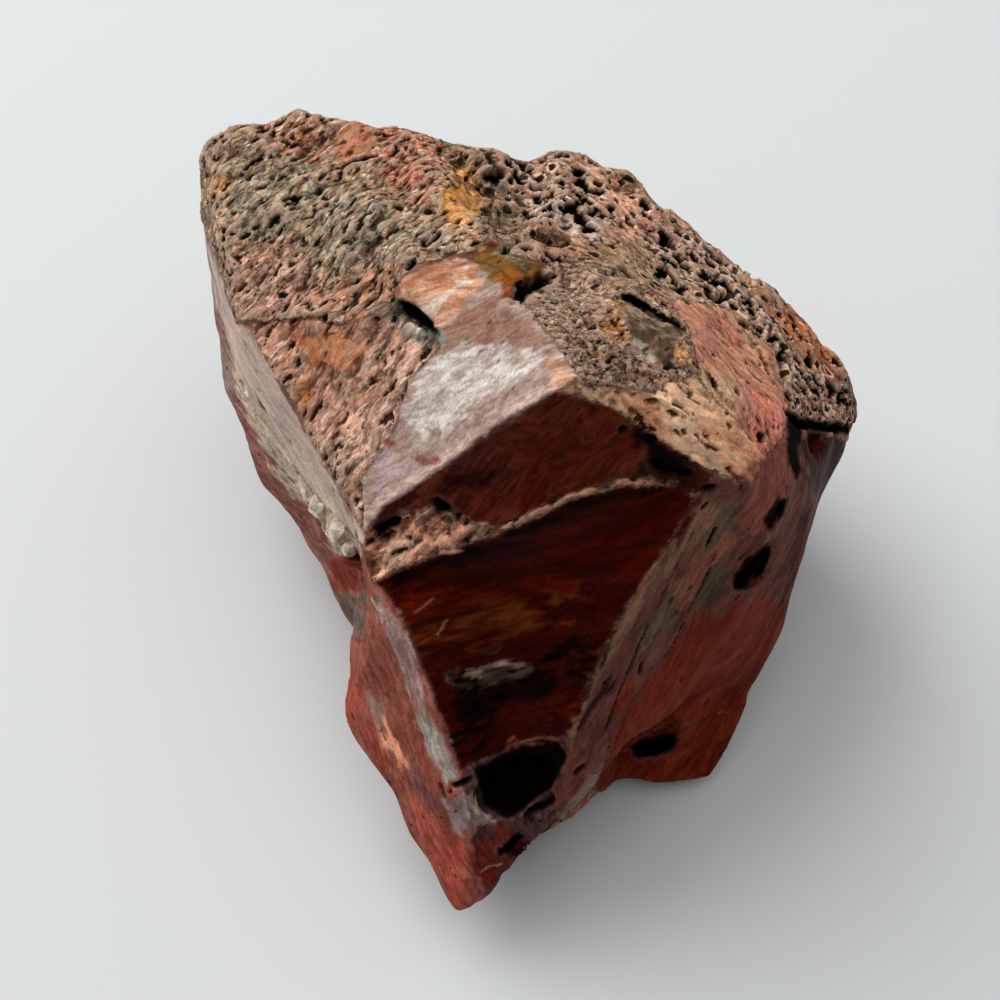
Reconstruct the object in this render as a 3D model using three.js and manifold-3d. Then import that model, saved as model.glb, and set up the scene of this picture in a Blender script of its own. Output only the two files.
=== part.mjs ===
// A rough chunk of polychrome jasper, about 52 mm long, broken on every side, as one solid.
// Millimetres, +Z up, +X right, +Y to the back. It rests on a flat spot at Z = 0, and the origin is
// under the middle of its bounding box, on that spot.
//
// The chunk is drawn from its corners: each group below is one broken face or edge of the stone. The
// corners are joined into a closed polyhedron, its faces are split fine enough to carry their grain,
// and then the pockets and bubbles are cut into it and the quartz crystals are grown on it.

import * as THREE from "three";
import { ConvexHull } from "three/addons/math/ConvexHull.js";
import { ImprovedNoise } from "three/addons/math/ImprovedNoise.js";
import { mergeVertices } from "three/addons/utils/BufferGeometryUtils.js";
import Module from "manifold-3d";

// Every corner is seen from this point inside the stone.
const HEART = new THREE.Vector3(0, -1, 14);

const GRAIN_SIZE = 3.6;

// Points this low belong to the flat spot, and every other point stays a little above it.
const FLAT_SPOT = 0.001;
const LIFT = 0.05;

// The faces are split until no edge is longer than this, on smooth faces and on the roughest ones.
const SMOOTH_EDGE = 3.5;
const ROUGH_EDGE = 2.1;
const ROUGHEST_GRAIN = 0.55;

// Each face of the stone: its corners, and grain, how far its surface is thrown up and down.
const FACES = {
  crust: {
    grain: 0.55,
    corners: [
      [-22.5, 20.8, 27], [-19.5, 22.7, 27.3], [-15, 22.8, 28], [-11, 20.3, 29.2], [-6.5, 18.6, 29.8],
      [-3, 18.2, 29], [-21.5, 16, 27], [-20, 11.5, 27], [-18.5, 5, 27], [-15, 14, 28.5], [-9, 10, 31],
      [-5, 11.5, 31.5], [-13.5, 4, 29], [-9, 2.5, 30.5], [-7, 4, 32.5], [-3.5, 5.5, 33], [-1, 4.5, 33],
    ],
  },
  step: {
    grain: 0.4,
    corners: [
      [-16.5, 2, 25.5], [-14, -0.5, 24.5], [-12, -4.5, 23.5], [-10.5, -7, 23], [-5, -0.5, 31],
      [-7, -1.5, 29], [-8.5, -4.5, 26.5], [-11, 0, 26.5],
    ],
  },
  facet: {
    grain: 0.08,
    corners: [
      [-0.5, 0, 35], [1.5, -4, 36], [2.5, -7, 37], [1.5, -7.5, 36.5], [-2, -7.2, 32.7], [-4, -7.5, 30],
      [-6, -7.5, 27.5], [-8.5, -7.5, 25], [-10, -8.5, 22.5], [-3.5, -4, 31.5],
    ],
  },
  upperScoop: {
    grain: 0.15,
    corners: [[-4.6, -7.3, 27], [-1.5, -6.9, 29.5], [2.5, -6.6, 32], [6, -6.8, 31.8]],
  },
  ledge: {
    grain: 0.4,
    corners: [
      [-7, -8.8, 23.2], [-4, -8.7, 25], [-1, -8.6, 26.8], [2.3, -8.2, 28.6], [5.6, -7.7, 29.3],
      [8.6, -7.8, 28.6], [-8, -10.2, 21], [-4.7, -10.3, 23.2], [-1.5, -10.3, 25.2], [0.8, -10.1, 26.8],
      [3, -9.6, 28], [5.8, -8.9, 28.6], [8, -8.6, 28.1], [10, -8.5, 27.2],
    ],
  },
  scoopRim: {
    grain: 0.12,
    corners: [
      [-8.5, -11, 20.5], [-7, -14, 19], [-5.5, -17, 17.5], [-4.5, -19, 15.5], [-4, -20, 14],
      [9, -10, 26.5], [7.5, -12.5, 25], [5.5, -14.5, 23], [4.5, -16.5, 21], [4, -17.5, 19],
      [2.5, -19.5, 16.5], [-2.5, -19.5, 13.5], [-0.5, -19, 14], [2, -19.3, 15],
    ],
  },
  scoopFloor: {
    grain: 0.1,
    corners: [
      [-4, -11.4, 21], [1, -10.8, 23], [5.5, -10, 24.8], [-3, -14, 18.2], [1.5, -14, 19.8],
      [-0.8, -17, 15.6],
    ],
  },
  tip: {
    grain: 0.2,
    corners: [
      [-4.5, -22, 12.5], [-3.5, -24.5, 9], [-4, -26.5, 5], [-4.5, -26.5, 4], [-2, -25.5, 4.5],
      [-1, -24.5, 5.5], [0.5, -23.5, 8], [3, -22, 12], [4, -21, 13], [-1.5, -22.5, 10.5], [2, -21, 14],
      [-6, -24, 6], [-7.5, -22.5, 7], [-9, -19.5, 8], [-10.5, -17.5, 9], [-12, -15, 10.5],
      [-11, -11.5, 10], [-11, -9, 9], [-10, -10, 20.5], [-9, -12.5, 19], [-7.5, -15, 17],
      [-6.5, -18, 14.5], [-5.5, -20.5, 13],
    ],
  },
  leftFace: {
    grain: 0.18,
    corners: [
      [-12.5, -6.5, 8], [-14.5, -2.5, 8], [-17, 1.5, 8], [-19.5, 4.5, 8.5], [-20.5, 7.5, 11],
      [-22, 10, 12.5], [-22.5, 14, 15], [-23, 17, 19], [-23, 20.5, 24], [-19.7, 7, 19.5],
      [-18, 3.5, 19], [-16, 0.5, 19], [-13.5, -3, 19], [-11.5, -5.5, 19], [-20.2, 8, 14.5],
      [-17, 2.5, 13.5], [-14, -1.5, 13.5], [-11.2, -5, 14],
    ],
  },
  brow: {
    grain: 0.25,
    corners: [
      [5, -6.5, 35.5], [8.5, -6.5, 33.5], [11, -7, 30.5], [13, -8, 28], [4.5, -7.5, 35],
      [7.5, -7.7, 32], [9.5, -8, 30.5], [11, -8.2, 29],
    ],
  },
  rightFace: {
    grain: 0.15,
    corners: [
      [16, -2.5, 27], [16.5, -4, 25], [18, -4.5, 22], [15, -8, 24], [14.5, -9.5, 21], [19, -5, 17],
      [18.3, -7.5, 12], [18, -9, 9.5], [16.5, -11, 6], [15.5, -13, 4], [11, -11.5, 20.3],
      [8, -15, 17.3], [13, -12.5, 13.5], [10, -15.5, 11], [7, -18, 12.5],
    ],
  },
  foot: {
    grain: 0.2,
    corners: [
      [14.5, -14.5, 2.5], [13.5, -16, 1.5], [10, -16.5, 1.5], [7, -16.3, 2], [7, -13, 7],
      [11, -13, 7.5],
    ],
  },
  shoulder: {
    grain: 0.6,
    corners: [
      [-2, 19.8, 26.5], [2.5, 20, 27], [6, 19.5, 26.5], [8, 17.5, 26], [12.5, 14.5, 24.5],
      [17.5, 11, 22.5], [21, 9.5, 20], [23.7, 7, 17], [24, 6.5, 15], [23, 5, 13], [21.7, 2, 11],
      [2.5, 13, 29.5], [-1, 12, 28], [4.5, 6, 31.5], [1, 4, 32], [7, 1.5, 33], [5.5, -3, 35],
    ],
  },
  groove: {
    grain: 0.35,
    corners: [
      [9.5, 13.5, 26], [9.5, 10, 27.2], [11, 5.5, 28], [14, 7, 25.5], [16, 4, 25], [17, 0.5, 24.5],
    ],
  },
  innerFace: {
    grain: 0.25,
    corners: [[10.5, -1.5, 32], [13, -3.5, 30]],
  },
  back: {
    grain: 0.3,
    corners: [
      [-21, 21.5, 17], [-16, 25.5, 15], [-7, 25, 13], [1, 22.5, 16], [8, 21, 12], [15, 16, 14],
      [21.5, 11, 11], [22.5, 4, 9], [-13, 23, 5], [-3, 22.5, 3], [9, 17, 3], [19, 8, 3], [20, -2, 4],
      [-20, 13, 7],
    ],
  },
  base: {
    grain: 0,
    corners: [
      [-11, -4, 0], [-14, 3, 0], [-13, 13, 0], [-4, 17, 0], [7, 13, 0], [14, 4, 0], [15, -7, 0],
      [11, -14, 0], [0, -8, 0], [-5, -15, 1.5], [0, -17, 4],
    ],
  },
};

// Hollows: the middle, the way the long side runs, and half the length, width and depth.
const POCKETS = {
  windowUnderScoop: { middle: [-0.3, -21, 12.4], along: [1, 0.2, 0.5], half: [3.2, 2.2, 1.9] },
  sliverByWindow: { middle: [1, -22, 11.2], along: [1.1, 0.4, 1.5], half: [1.5, 0.4, 0.8] },
  sliverByTip: { middle: [-0.7, -23.4, 7.8], along: [1, 0.4, 1.5], half: [1.9, 0.4, 0.9] },
  recessOverFoot: { middle: [8.8, -14.6, 5], along: [1, 0.3, 0.4], half: [2.6, 1.9, 1.8] },
  longVug: { middle: [14.7, -8.7, 19], along: [2.1, 2.2, 2.9], half: [2.3, 0.8, 1.2] },
  upperVug: { middle: [17.4, -6.4, 20.8], along: [1.6, 1.9, 2.4], half: [1.5, 0.6, 0.9] },
  ochreHole: { middle: [0.4, 2, 33.6], along: [2.4, 1.4, -0.3], half: [1.9, 0.7, 1.6] },
  slotOverGreyPatch: { middle: [7.8, 1.4, 32], along: [3.2, -2, -1.4], half: [2.3, 0.5, 1.2] },
  quartzSeam: { middle: [-15.9, 0.6, 16.8], along: [8, -12, 0.5], half: [8, 1.4, 1.1] },
  notchByFacet: { middle: [-6.4, 1.6, 31.2], along: [2.4, -1.8, -1], half: [1.7, 0.5, 0.9] },
  breakUnderShoulder: { middle: [18.4, -0.4, 21.4], along: [2.4, 0.8, 0.4], half: [2.1, 0.9, 1.2] },
  bigBubble: { middle: [9.8, 12.3, 26.7], along: [1, 0, 0], half: [0.95, 0.95, 1.1] },
};

// The bubbly shoulder: round holes strewn over it behind a line, each well apart from the others.
const BUBBLES = { count: 25, apart: 2, front: 2, small: 0.5, large: 1.1 };

// Quartz points that line the seam in the left face, larger towards its lower end.
const QUARTZ = {
  from: [-19.4, 6.4, 17],
  to: [-11.6, -6.2, 17.6],
  outward: [-0.8, -0.55, 0.2],
  count: 13,
  small: 0.6,
  large: 1.6,
  spread: 0.7,
  lean: 0.9,
};

const X_AXIS = new THREE.Vector3(1, 0, 0);
const Y_AXIS = new THREE.Vector3(0, 1, 0);

const wasm = await Module();
wasm.setup();

// A closed mesh as a solid that can be joined and cut.
function solidOf(geometry) {
  const bare = new THREE.BufferGeometry().setIndex(geometry.index);
  bare.setAttribute("position", geometry.getAttribute("position"));
  const merged = mergeVertices(bare, 1e-4);
  const mesh = new wasm.Mesh({
    numProp: 3,
    vertProperties: new Float32Array(merged.attributes.position.array),
    triVerts: new Uint32Array(merged.index.array),
  });
  return new wasm.Manifold(mesh);
}

function geometryOf(solid) {
  const { vertProperties, triVerts } = solid.getMesh();
  const geometry = new THREE.BufferGeometry();
  geometry.setAttribute("position", new THREE.BufferAttribute(vertProperties, 3));
  geometry.setIndex(new THREE.BufferAttribute(triVerts, 1));
  return geometry;
}

// The corners in one list, each with the grain of its face.
function allCorners() {
  return Object.values(FACES).flatMap(({ grain, corners }) =>
    corners.map((place) => ({ point: new THREE.Vector3(...place), grain })),
  );
}

// Joins the corners into one closed skin. Seen from the heart, each corner lies in its own direction,
// so the hull of those directions says which corners are neighbours, in hollows too.
function skin(corners) {
  const directions = corners.map(({ point }) => point.clone().sub(HEART).normalize());
  const numberOf = new Map(directions.map((direction, number) => [direction, number]));
  const index = [];
  for (const face of new ConvexHull().setFromPoints(directions).faces) {
    const first = face.edge;
    for (const edge of [first, first.next, first.next.next]) index.push(numberOf.get(edge.head().point));
  }
  const geometry = new THREE.BufferGeometry().setFromPoints(corners.map(({ point }) => point));
  return geometry.setIndex(index);
}

// The grain at a point is that of the nearest corners, the nearer ones counting more.
function grainAt(point, corners) {
  let sum = 0;
  let weights = 0;
  for (const corner of corners) {
    const weight = 1 / (corner.point.distanceToSquared(point) + 0.5) ** 2;
    sum += weight * corner.grain;
    weights += weight;
  }
  return sum / weights;
}

// Halves a triangle at its most overlong edge until none is left. Whether an edge is overlong depends
// on that edge alone, so neighbours are halved at the same points and the skin stays closed.
function splitTriangle(triangle, corners, pieces) {
  const sides = [0, 1, 2].map((i) => {
    const [from, to, across] = [triangle[i], triangle[(i + 1) % 3], triangle[(i + 2) % 3]];
    const middle = new THREE.Vector3().addVectors(from, to).multiplyScalar(0.5);
    const roughness = Math.min(grainAt(middle, corners) / ROUGHEST_GRAIN, 1);
    const excess = from.distanceTo(to) / THREE.MathUtils.lerp(SMOOTH_EDGE, ROUGH_EDGE, roughness);
    return { from, to, across, middle, excess };
  });
  const worst = sides.reduce((a, b) => (b.excess > a.excess ? b : a));
  if (worst.excess <= 1) {
    pieces.push(...triangle);
    return;
  }
  splitTriangle([worst.from, worst.middle, worst.across], corners, pieces);
  splitTriangle([worst.middle, worst.to, worst.across], corners, pieces);
}

function splitFaces(geometry, corners) {
  const { position } = geometry.toNonIndexed().attributes;
  const pieces = [];
  for (let i = 0; i < position.count; i += 3) {
    const triangle = [0, 1, 2].map((k) => new THREE.Vector3().fromBufferAttribute(position, i + k));
    splitTriangle(triangle, corners, pieces);
  }
  return mergeVertices(new THREE.BufferGeometry().setFromPoints(pieces), 1e-4);
}

// Throws the points of the skin up and down by the grain. The flat spot at the bottom stays flat.
function weathered(geometry, corners) {
  const fine = splitFaces(geometry, corners);
  fine.computeVertexNormals();
  const noise = new ImprovedNoise();
  const { position, normal } = fine.attributes;
  const point = new THREE.Vector3();
  const outward = new THREE.Vector3();
  for (let i = 0; i < position.count; i++) {
    point.fromBufferAttribute(position, i);
    if (point.z <= FLAT_SPOT) continue;
    outward.fromBufferAttribute(normal, i);
    const at = point.clone().divideScalar(GRAIN_SIZE);
    const coarse = noise.noise(at.x, at.y, at.z);
    const sharp = noise.noise(2.1 * at.x + 7, 2.1 * at.y, 2.1 * at.z + 3);
    point.addScaledVector(outward, grainAt(point, corners) * (1.4 * coarse + sharp));
    point.z = Math.max(point.z, LIFT);
    position.setXYZ(i, point.x, point.y, point.z);
  }
  return fine;
}

// A repeatable run of numbers between 0 and 1.
function dice(seed) {
  let state = seed;
  return () => {
    state = (state * 1664525 + 1013904223) % 4294967296;
    return state / 4294967296;
  };
}

// A rounded lump of the given half sizes, its long side turned to run along a direction.
function lump(middle, along, half) {
  const geometry = new THREE.IcosahedronGeometry(1, 1);
  geometry.scale(half[0], half[1], half[2]);
  const turn = new THREE.Quaternion().setFromUnitVectors(X_AXIS, new THREE.Vector3(...along).normalize());
  geometry.applyQuaternion(turn);
  return geometry.translate(...middle);
}

function cutPockets(solid) {
  let left = solid;
  for (const { middle, along, half } of Object.values(POCKETS)) {
    left = left.subtract(solidOf(lump(middle, along, half)));
  }
  return left;
}

// Bubbles open in the top of the shoulder, at points of its skin.
function cutBubbles(solid, skinGeometry) {
  const chance = dice(11);
  const { position, normal } = skinGeometry.attributes;
  const edges = FACES.shoulder.corners.map((place) => new THREE.Vector3(...place));
  const shoulder = new THREE.Box3().setFromPoints(edges);
  const middles = [];
  let left = solid;
  while (middles.length < BUBBLES.count) {
    const i = Math.floor(chance() * position.count);
    const size = THREE.MathUtils.lerp(BUBBLES.small, BUBBLES.large, chance() ** 2);
    const half = [size * (1 + chance()), size, size];
    const along = [chance() - 0.5, chance() - 0.5, chance() - 0.5];
    const middle = new THREE.Vector3().fromBufferAttribute(position, i);
    const crowded = middles.some((other) => other.distanceTo(middle) < BUBBLES.apart);
    const onTop = normal.getZ(i) > 0.1 && middle.y > BUBBLES.front && shoulder.containsPoint(middle);
    if (crowded || !onTop) continue;
    left = left.subtract(solidOf(lump(middle.toArray(), along, half)));
    middles.push(middle);
  }
  return left;
}

// One six-sided quartz point: a short prism with a slightly narrower pyramid sunk into its end.
function quartzPoint(radius, pose) {
  const prism = new THREE.CylinderGeometry(radius, radius, 2 * radius, 6);
  const tip = new THREE.ConeGeometry(0.95 * radius, radius, 6).translate(0, 1.45 * radius, 0);
  return solidOf(prism.applyMatrix4(pose)).add(solidOf(tip.applyMatrix4(pose)));
}

// The quartz points stand in the seam, each leaning its own way out of it.
function growQuartz(solid) {
  const chance = dice(5);
  const from = new THREE.Vector3(...QUARTZ.from);
  const to = new THREE.Vector3(...QUARTZ.to);
  const outward = new THREE.Vector3(...QUARTZ.outward).normalize();
  let grown = solid;
  for (let i = 0; i < QUARTZ.count; i++) {
    const share = i / (QUARTZ.count - 1);
    const radius = THREE.MathUtils.lerp(QUARTZ.small, QUARTZ.large, share * (0.6 + 0.4 * chance()));
    const lean = new THREE.Vector3(chance() - 0.5, chance() - 0.5, chance() - 0.5);
    const axis = outward.clone().addScaledVector(lean, QUARTZ.lean).normalize();
    const place = from.clone().lerp(to, share).addScaledVector(outward, -radius);
    place.z += QUARTZ.spread * (2 * chance() - 1);
    const turn = new THREE.Quaternion().setFromUnitVectors(Y_AXIS, axis);
    const pose = new THREE.Matrix4().compose(place, turn, new THREE.Vector3(1, 1, 1));
    grown = grown.add(quartzPoint(radius, pose));
  }
  return grown;
}

function carvedStone() {
  const corners = allCorners();
  const skinGeometry = weathered(skin(corners), corners);
  const carved = growQuartz(cutBubbles(cutPockets(solidOf(skinGeometry)), skinGeometry));
  const stone = geometryOf(carved);
  stone.computeBoundingBox();
  const middle = stone.boundingBox.getCenter(new THREE.Vector3());
  stone.translate(-middle.x, -middle.y, -stone.boundingBox.min.z);
  stone.computeVertexNormals();
  return stone;
}

const material = new THREE.MeshStandardMaterial({ color: 0x7a3a2e, roughness: 0.5, metalness: 0 });
const jasper = new THREE.Mesh(carvedStone(), material);
jasper.name = "jasper";

const root = new THREE.Group();
root.add(jasper);

export default root;
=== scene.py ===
import math

import bpy
import numpy as np
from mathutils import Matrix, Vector
from mathutils.bvhtree import BVHTree
from mathutils.kdtree import KDTree


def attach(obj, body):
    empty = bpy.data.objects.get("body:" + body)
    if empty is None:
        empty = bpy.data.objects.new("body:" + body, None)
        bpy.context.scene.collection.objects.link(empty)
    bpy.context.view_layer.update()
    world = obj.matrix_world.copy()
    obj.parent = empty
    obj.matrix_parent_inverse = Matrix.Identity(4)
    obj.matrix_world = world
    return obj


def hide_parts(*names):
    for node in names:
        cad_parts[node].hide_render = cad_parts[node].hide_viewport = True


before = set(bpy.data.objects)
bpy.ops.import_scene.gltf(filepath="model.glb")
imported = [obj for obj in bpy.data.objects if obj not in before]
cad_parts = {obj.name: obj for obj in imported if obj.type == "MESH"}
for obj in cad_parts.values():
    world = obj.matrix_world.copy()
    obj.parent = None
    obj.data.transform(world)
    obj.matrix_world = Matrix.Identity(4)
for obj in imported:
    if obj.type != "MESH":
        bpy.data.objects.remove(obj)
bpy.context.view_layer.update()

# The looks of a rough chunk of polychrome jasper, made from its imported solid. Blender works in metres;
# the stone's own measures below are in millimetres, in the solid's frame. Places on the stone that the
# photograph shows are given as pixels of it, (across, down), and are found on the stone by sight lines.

MM = 0.001

# The photograph's camera: it looks down at the point that it aims at on the surface under the stone.
PICTURE = 1000
FOCAL_PIXELS = 1500
SENSOR = 36
CAMERA_ELEVATION = math.radians(58)
CAMERA_HEIGHT = 102.6
AIM = np.array([-2.2, 8.77, 0.0])
FORWARD = np.array([0, math.cos(CAMERA_ELEVATION), -math.sin(CAMERA_ELEVATION)])
RIGHT = np.array([1.0, 0, 0])
UP = np.array([0, math.sin(CAMERA_ELEVATION), math.cos(CAMERA_ELEVATION)])
EYE = AIM + np.array([0, -CAMERA_HEIGHT / math.tan(CAMERA_ELEVATION), CAMERA_HEIGHT])

# The fine mesh: its spacing, the pieces that it is handed on in, and how its facets are smoothed away.
VOXEL = 0.175
WELD_REACH = 0.01
PIECES = 4
FACING_ROUNDS = 70
FITTING_ROUNDS = 22
CREASE_SOFTNESS = 0.33
HELD_HEIGHT = 0.25
HOLLOW_ROUNDS = 9

# The camera sees a point if its surface faces it by this much and a ray that starts a little off the
# surface and towards the camera meets nothing.
LEAST_FACING = 0.03
RAY_OFF_SURFACE = 0.3
RAY_TO_CAMERA = 0.1

# How far out of sight the looks of the seen faces carry on round the edges, and the band over the flat
# spot in which the relief starts. Widths in pixels are turned into millimetres at the middle height.
CARRY = 5.0
FLAT_SPOT = 0.02
FLAT_BAND = 0.6
MIDDLE_HEIGHT = 25.0

# How far noise shifts an outline, and how wide its soft edge is, in pixels. A shade's soft edge is its
# own, stains tear in proportion to the width of theirs, and patches on the unseen sides tear and fade
# by these parts of their noise.
FACE_EDGE = (3, 4)
CALM_EDGE = (4, 4)
CROWD_EDGE = (8, 16)
SHADE_SHIFT = 2
STAIN_TEAR = 2.4
PATCH_TEAR = 0.12
PATCH_SOFTNESS = 0.3

# A face's grain is worked out where its share of the surface is at least this, and dents are evened out
# where it is larger still, a part of the way in each round.
LEAST_SHARE = 0.01
EVEN_SHARE = 0.6
EVENING = 0.6

# Noise of this size bends the grain, each kind of it by its own amount.
BEND_SIZE = 1.3
BENDS = {"rippled": 0.2, "stepped": 0.2, "lumpy": 0.9}

# How soft the edges of pits are, how dark the painted shade in pits is, and how much of the grain a
# calm patch loses.
PIT_EDGE = 0.12
PIT_SHADE = 0.85
CALMING = 0.85

# How uneven hollows and threads are along their runs, and where they fade out, in half widths. Then how
# fast the painted shade in a hollow deepens inwards, and how strongly a thread is coloured.
RUN_WOBBLE = 0.35
HOLLOW_REACH = 1.25
HOLLOW_SHADE = 2.4
THREAD_REACH = 1.5
THREAD_STRENGTH = 0.85

# The twelve slopes that the noise is made of.
SLOPES = np.array([s for s in np.ndindex(3, 3, 3) if sum(k != 1 for k in s) == 2], float) - 1

# Each kind of broken surface. Its layers are (size, height) in millimetres, its pits (size, how rare,
# depth), and stretch draws them out along the streaks. granular, gloss, streaky and bubbly, from 0 to
# 1, go to the material.
STYLES = {
    "crusty": dict(kind="rippled", layers=((2.6, 0.2), (0.9, 0.14), (0.45, 0.11)), pits=(0.55, 0.38, 0.2),
                   stretch=1.8, granular=1.0, gloss=0.0, streaky=0.5, bubbly=0.0),
    "bubbly": dict(kind="rippled", layers=((2.2, 0.24), (0.6, 0.1)), pits=(0.6, 0.44, 0.14), stretch=1.4,
                   granular=0.7, gloss=0.3, streaky=0.4, bubbly=1.0),
    "gritty": dict(kind="lumpy", layers=((1.1, 0.09), (0.45, 0.07)), pits=(0.5, 0.42, 0.18), stretch=1.4,
                   granular=0.85, gloss=0.1, streaky=0.3, bubbly=0.2),
    "hackly": dict(kind="stepped", layers=((2.2, 0.34), (0.7, 0.2)), pits=(0.5, 0.43, 0.22), stretch=3.0,
                   granular=0.6, gloss=0.3, streaky=0.9, bubbly=0.1),
    "shattered": dict(kind="stepped", layers=((1.7, 0.55), (0.6, 0.3)), pits=(0.5, 0.46, 0.32), stretch=2.2,
                      granular=0.55, gloss=0.35, streaky=1.0, bubbly=0.0),
    "fibrous": dict(kind="stepped", layers=((1.0, 0.16), (0.45, 0.12)), pits=(0.42, 0.38, 0.25), stretch=5.0,
                    granular=0.3, gloss=0.35, streaky=1.0, bubbly=0.0),
    "veined": dict(kind="stepped", layers=((1.8, 0.18), (0.6, 0.1)), pits=(0.42, 0.42, 0.28), stretch=3.0,
                   granular=0.4, gloss=0.4, streaky=0.8, bubbly=0.4),
    "waxy": dict(kind="rippled", layers=((2.4, 0.1), (0.9, 0.04)), pits=(0.4, 0.72, 0.15), stretch=4.5,
                 granular=0.05, gloss=0.6, streaky=0.8, bubbly=0.0),
    "glassy": dict(kind="rippled", layers=((2.8, 0.1), (1.2, 0.02)), pits=(0.4, 0.9, 0.1), stretch=5.0,
                   granular=0.06, gloss=0.9, streaky=0.7, bubbly=0.0),
    "plain": dict(kind="stepped", layers=((2.8, 0.22), (0.9, 0.06)), pits=(0.4, 0.68, 0.2), stretch=3.5,
                  granular=0.1, gloss=0.5, streaky=0.8, bubbly=0.0),
}

# Rounds of evening out dents, for the faces that broke smoothly.
EVEN_ROUNDS = {"upper_scoop": 500, "lower_scoop": 120, "facet": 80, "left_strip": 80, "right_face": 60}

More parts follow.
